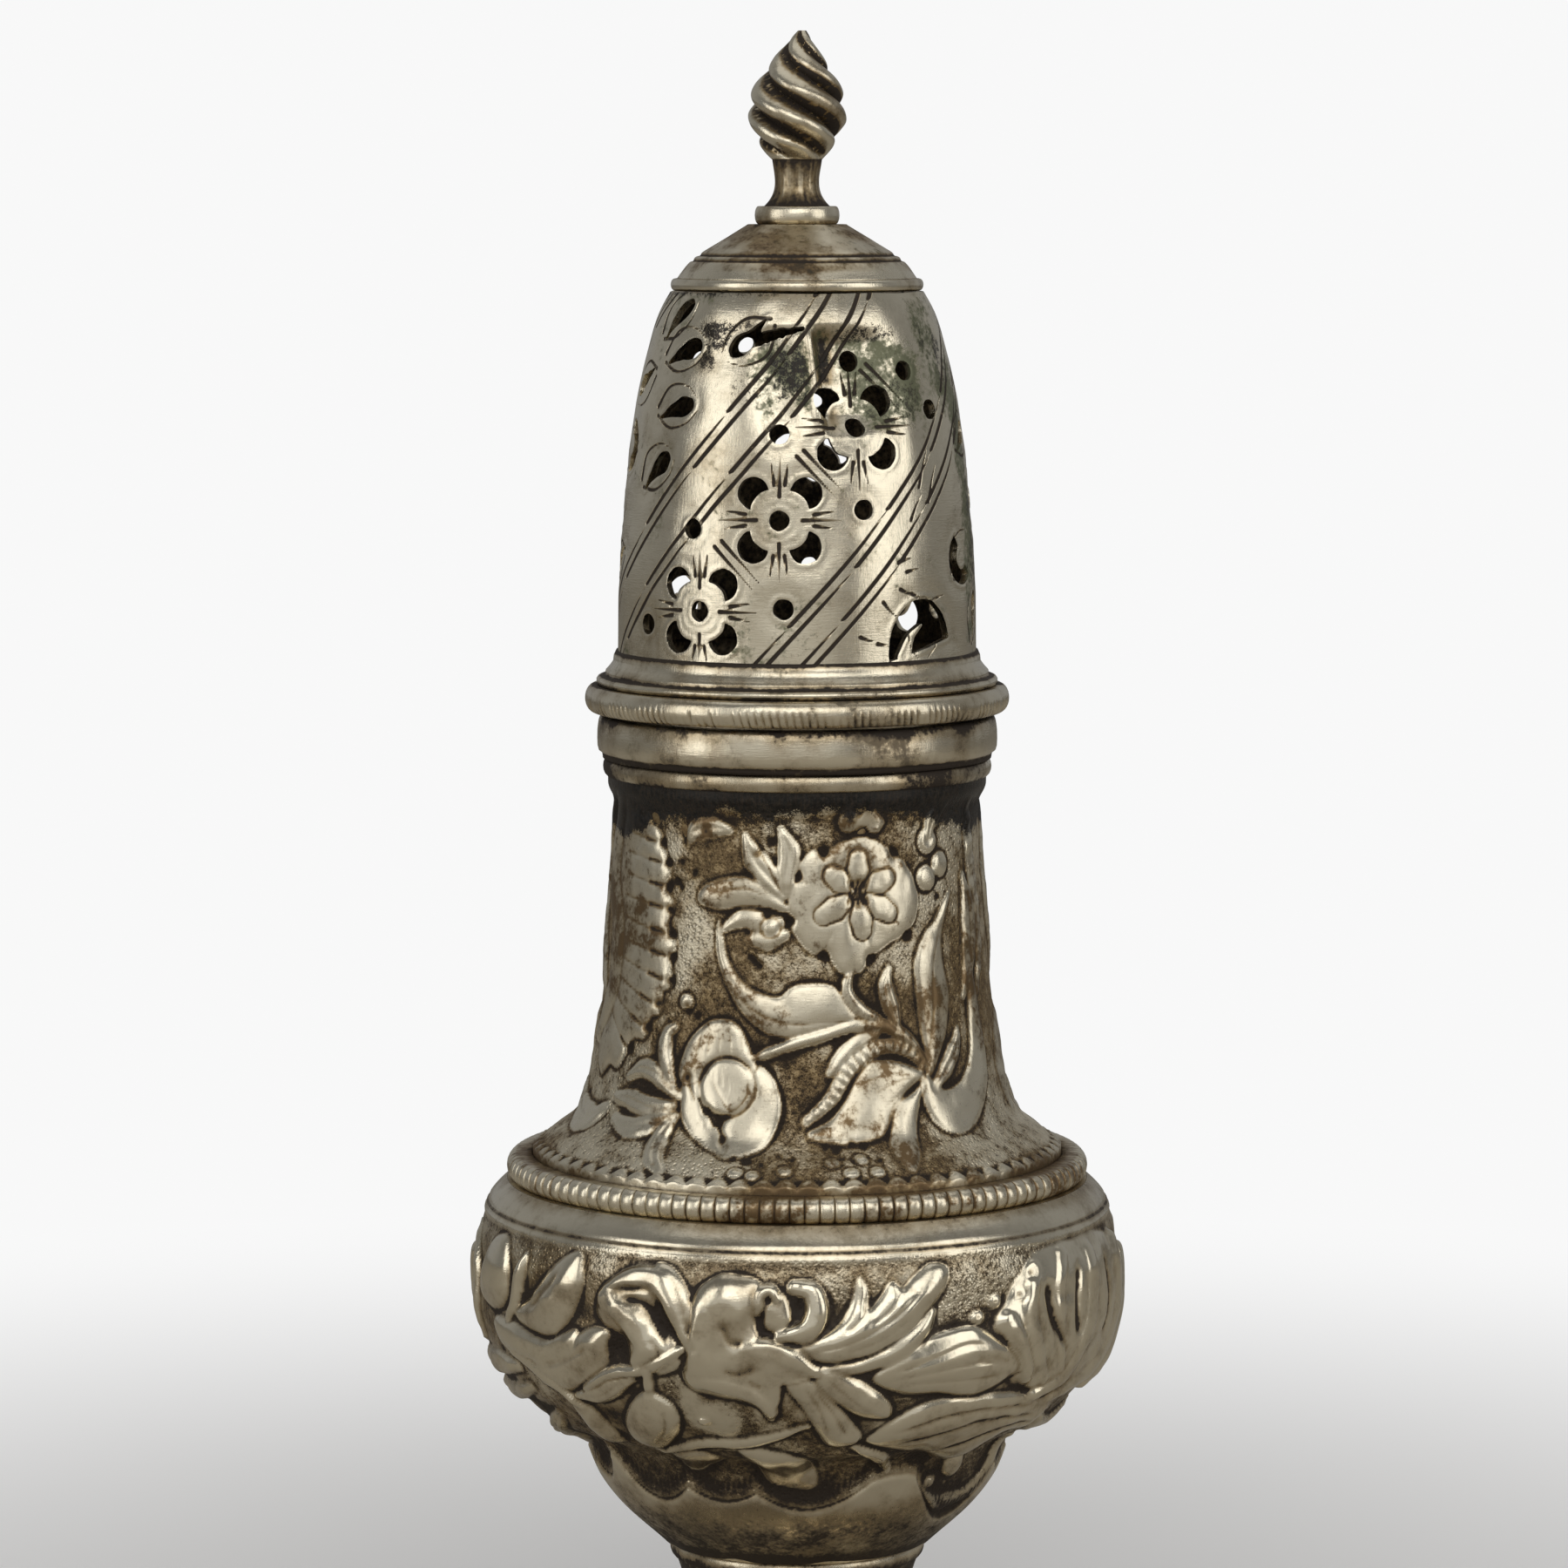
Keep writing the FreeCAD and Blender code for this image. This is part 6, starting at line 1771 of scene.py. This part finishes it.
class CASTER_OT_finial(CasterPiece, bpy.types.Operator):
    """Twisted flame finial on its spool and collar"""
    bl_idname = "caster.finial"
    bl_label = "Finial"

    def execute(self, context):
        """The flame's radius is its outline less a groove: four rounded ridges, a power of
        a cosine of the angle, turned once round from foot to tip. Below it the spool is
        one hollow arc with fine upright file marks."""
        foot = Z_FINIAL
        spool_top = foot + 4.0
        rise = Z_TIP - spool_top
        widest = radius_of("finial")
        flame = Outline(placed(FLAME_SHARES, 0.35, min(widest, 4.25), spool_top, rise))
        rows_up, columns = 190, 300
        z = np.linspace(spool_top, Z_TIP, rows_up)
        share = (z - spool_top) / rise
        base = np.interp(z, flame.height, flame.radius)
        angle = np.arange(columns) * 360.0 / columns
        phase = angle[None, :] - 18.0 + 360.0 * share[:, None] + 5.0 * np.sin(7 * share)[:, None]
        wave = np.abs(np.cos(np.radians(2.0 * phase)))
        groove = 1 - wave ** 0.8
        deep = 0.33 * np.minimum(1, 0.45 + 3.5 * share) * (1 - 0.6 * eased(share, 0.86, 1.0))
        radius = base[:, None] * (1 - deep[:, None] * groove)
        radius = radius * (1 - 0.03 * mottled((rows_up, columns), (12, 16), 51))
        # The spool: an arc from the collar up to the flame's foot
        low = np.linspace(foot, spool_top, 26)[:-1]
        part = (low - foot) / 4.0
        waist = 1.85
        ends = 2.75 + (base[0] * (1 - 0.3 * 0.3) - 2.75) * part
        hollow = waist + (ends - waist) * np.abs(2 * part - 1) ** 2.0
        files = 0.03 * mottled((len(low), columns), (3, 90), 52)
        low_radius = hollow[:, None] - files
        radius = np.concatenate([low_radius, radius])
        z = np.concatenate([low, z])
        groove = np.concatenate([0.25 * np.ones_like(low_radius), groove])
        heights = np.concatenate([part * 0 - 0.01, share])
        lean_out = 0.42 * np.clip(heights, 0, 1) ** 4
        turn = np.radians(angle)[None, :]
        x = radius * np.sin(turn) + lean_out[:, None]
        y = -radius * np.cos(turn)
        points = np.stack([x, y, np.broadcast_to(z[:, None], x.shape)], axis=-1)
        stain = 1.25 * eased(groove, 0.1, 0.42) * eased(heights[:, None], 0.0, 0.06)
        flecks = eased(mottled(stain.shape, (60, 70), 53), 0.66, 0.86)
        stain = stain * (1 - 0.55 * flecks)
        # Painted shadow: each groove is darker on one side, under its ridge.
        stain[25:] *= 0.76 - 0.24 * np.sin(np.radians(4.0 * phase))
        # Painted shade over the spool, darker towards its two ends, with slow noise of real tarnish over it.
        slow = mottled((25, columns), (3, 60), 54)
        stain[:25] = 0.62 + 0.4 * (np.abs(2 * part - 1) ** 3)[:, None] + 0.3 * (slow - 0.5)
        edge = 0.8 * eased(0.14 - groove, 0.0, 0.14)
        rows = len(z)
        index = np.arange(rows * columns).reshape(rows, columns)
        index = np.concatenate([index, index[:, :1]], axis=1)
        total = rows * columns
        ring_low = np.stack([index[0, 1:], index[0, :-1], np.full(columns, total)], axis=-1)
        ring_top = np.stack([index[-1, :-1], index[-1, 1:], np.full(columns, total + 1)], axis=-1)
        poles = np.array([[0, 0, foot], [lean_out[-1], 0, Z_TIP]])
        layers = {
            "tarnish_and_shade": np.concatenate([np.clip(stain, 0, 1).ravel(), [0.5, 0.2]]),
            "edge": np.concatenate([np.clip(edge, 0, 1).ravel(), [0.0, 0.3]]),
        }
        points = np.concatenate([points.reshape(-1, 3), poles])
        put("flame", points, [quads(index), ring_low, ring_top], "finial", "cast", layers)

        outer = radius_of("finial_collar")
        section = arc_section(1.2, outer, Z_COLLAR, Z_FINIAL, 0.3, 9)
        slow = mottled((11, 200), (3, 24), 55)
        stain = 0.12 + 0.75 * np.abs(np.linspace(-1, 1, 11)[:, None]) ** 3 + 0.4 * (slow - 0.5)
        cut = 0.03 * slow
        cut[[0, -1]] = 0
        wire_surface("collar_disc", section, "finial_collar", "cast", cut, stain)
        rivet = [(0, 128.75), (1.6, 128.75), (2.05, 129.0), (2.1, 129.28, 1), (0, 129.28)]
        turned("rivet", rivet, 48, "finial", "inside", [0.5, 0.5, 0.6, 0.8, 0.8])
        return {"FINISHED"}


# Stage

class CASTER_OT_stage(bpy.types.Operator):
    """Pale floor, soft lamps, background and camera"""
    bl_idname = "caster.stage"
    bl_label = "Stage"
    bl_options = {"REGISTER", "UNDO"}

    def floor(self, level):
        side = 3.0
        corners = np.array([(-side, -side, 0), (side, -side, 0), (side, side, 0), (-side, side, 0)])
        mesh = bpy.data.meshes.new("stage_floor")
        mesh.from_pydata(corners.tolist(), [], [(0, 1, 2, 3)])
        floor = bpy.data.objects.new("stage_floor", mesh)
        bpy.context.scene.collection.objects.link(floor)
        material = bpy.data.materials.new("stage_floor")
        material.use_nodes = True
        bench = Bench(material.node_tree)
        paths = bench.add("ShaderNodeLightPath")
        seen = Value(bench, paths.outputs["Is Camera Ray"])
        place = bench.place((1, 1, 1))
        length_node = bench.add("ShaderNodeVectorMath", {"operation": "LENGTH"}, {0: place})
        away = Value(bench, length_node.outputs["Value"])
        share = seen * away.over(60.0, 260.0)
        cloth = bench.add("ShaderNodeBsdfPrincipled", {}, {
            "Base Color": bench.blend(seen, (0.4, 0.37, 0.32, 1), (level, level, level, 1)), "Roughness": 0.9,
        })
        glow = bench.add("ShaderNodeEmission", {}, {"Color": (level, level, level, 1), "Strength": 1.0})
        mixed = bench.add("ShaderNodeMixShader", {}, {0: share, 1: cloth.outputs[0], 2: glow.outputs[0]})
        output = bench.add("ShaderNodeOutputMaterial")
        bench.tree.links.new(mixed.outputs[0], output.inputs["Surface"])
        mesh.materials.append(material)

    def world(self, level):
        """Even pale light seen by the camera; reflections see it behind the caster and
        darker room walls in front and overhead."""
        world = bpy.data.worlds.new("studio")
        bpy.context.scene.world = world
        world.use_nodes = True
        bench = Bench(world.node_tree)
        paths = bench.add("ShaderNodeLightPath")
        camera = Value(bench, paths.outputs["Is Camera Ray"])
        gloss = Value(bench, paths.outputs["Is Glossy Ray"])
        glass = Value(bench, paths.outputs["Is Transmission Ray"])
        way = bench.add("ShaderNodeTexCoord").outputs["Generated"]
        parts = bench.add("ShaderNodeSeparateXYZ", {}, {0: way})
        back = Value(bench, parts.outputs["Y"])
        behind = back.over(-0.05, 0.55)
        room = 0.17 + behind * 0.09
        seen = camera * level
        mirrored = gloss * room
        through = glass * level
        rest = (1.0 - camera) * (1.0 - gloss) * (1.0 - glass) * 0.3
        total = seen + mirrored * (1.0 - camera) + through * (1.0 - camera) * (1.0 - gloss) + rest
        shader = bench.add("ShaderNodeBackground", {}, {"Color": (1, 1, 1, 1), "Strength": total})
        output = bench.add("ShaderNodeOutputWorld")
        bench.tree.links.new(shader.outputs[0], output.inputs["Surface"])

    def lamp(self, name, place, aim, size, power, tint=(1.0, 0.98, 0.95)):
        """A rectangular soft lamp at `place`, turned so that its face looks at `aim`."""
        data = bpy.data.lights.new(name, "AREA")
        data.shape = "RECTANGLE"
        data.size, data.size_y = size
        data.energy = power
        data.color = tint
        lamp = bpy.data.objects.new(name, data)
        bpy.context.scene.collection.objects.link(lamp)
        place = np.array(place, float)
        toward = np.array(aim, float) - place
        flat = np.hypot(toward[0], toward[1])
        lamp.location = place
        around = np.arctan2(toward[1], toward[0]) - np.pi / 2
        lamp.rotation_euler = (np.arctan2(flat, -toward[2]), 0.0, around)

    def execute(self, context):
        stage = context.scene.caster_stage
        self.floor(stage.backdrop)
        self.world(stage.backdrop)
        middle = (0.0, 0.0, 0.075)
        self.lamp("key", (0.04, -0.66, 0.52), middle, (0.8, 0.46), stage.key * 0.5)
        self.lamp("side", (0.6, -0.34, 0.3), middle, (0.4, 0.6), stage.key * 0.3)
        self.lamp("top", (0.05, 0.1, 0.75), middle, (0.7, 0.7), stage.key * 0.2)
        self.lamp("left", (-0.6, -0.36, 0.26), middle, (0.34, 0.6), stage.key * 0.27)
        self.lamp("front", (-0.12, -0.84, 0.18), middle, (1.1, 0.6), stage.key * 0.24)
        data = bpy.data.cameras.new("camera")
        data.lens = stage.lens
        data.sensor_width = 36.0
        data.shift_x = -15.0 / 1800.0
        data.clip_start = 0.01
        camera = bpy.data.objects.new("camera", data)
        bpy.context.scene.collection.objects.link(camera)
        camera.location = (0.0, -stage.camera_distance, stage.camera_height)
        camera.rotation_euler = (np.pi / 2 - stage.camera_pitch, 0.0, 0.0)
        context.scene.camera = camera
        context.scene.view_settings.view_transform = "Standard"
        return {"FINISHED"}


class CASTER_PT_panel(bpy.types.Panel):
    """Lists the caster's steps and sizes"""
    bl_idname = "CASTER_PT_panel"
    bl_label = "Sugar caster"
    bl_space_type = "VIEW_3D"
    bl_region_type = "UI"
    bl_category = "Caster"

    def draw(self, context):
        layout = self.layout
        for step in STEPS:
            layout.operator(step.bl_idname)
        for group in (context.scene.caster_sizes, context.scene.caster_finish, context.scene.caster_stage):
            box = layout.box()
            for name in group.__annotations__:
                box.prop(group, name)


STEPS = (
    CASTER_OT_foot, CASTER_OT_bowl, CASTER_OT_girdle, CASTER_OT_neck, CASTER_OT_lip, CASTER_OT_cover_rings,
    CASTER_OT_dome, CASTER_OT_cap, CASTER_OT_finial, CASTER_OT_stage,
)
GROUPS = (("caster_sizes", CasterSizes), ("caster_finish", CasterFinish), ("caster_stage", CasterStage))


def register():
    for name, group in GROUPS:
        bpy.utils.register_class(group)
        setattr(bpy.types.Scene, name, bpy.props.PointerProperty(type=group))
    for step in STEPS:
        bpy.utils.register_class(step)
    bpy.utils.register_class(CASTER_PT_panel)


def unregister():
    bpy.utils.unregister_class(CASTER_PT_panel)
    for step in reversed(STEPS):
        bpy.utils.unregister_class(step)
    for name, group in reversed(GROUPS):
        delattr(bpy.types.Scene, name)
        bpy.utils.unregister_class(group)


def main():
    register()
    for step in STEPS:
        family, action = step.bl_idname.split(".")
        getattr(getattr(bpy.ops, family), action)()


if __name__ == "__main__":
    main()
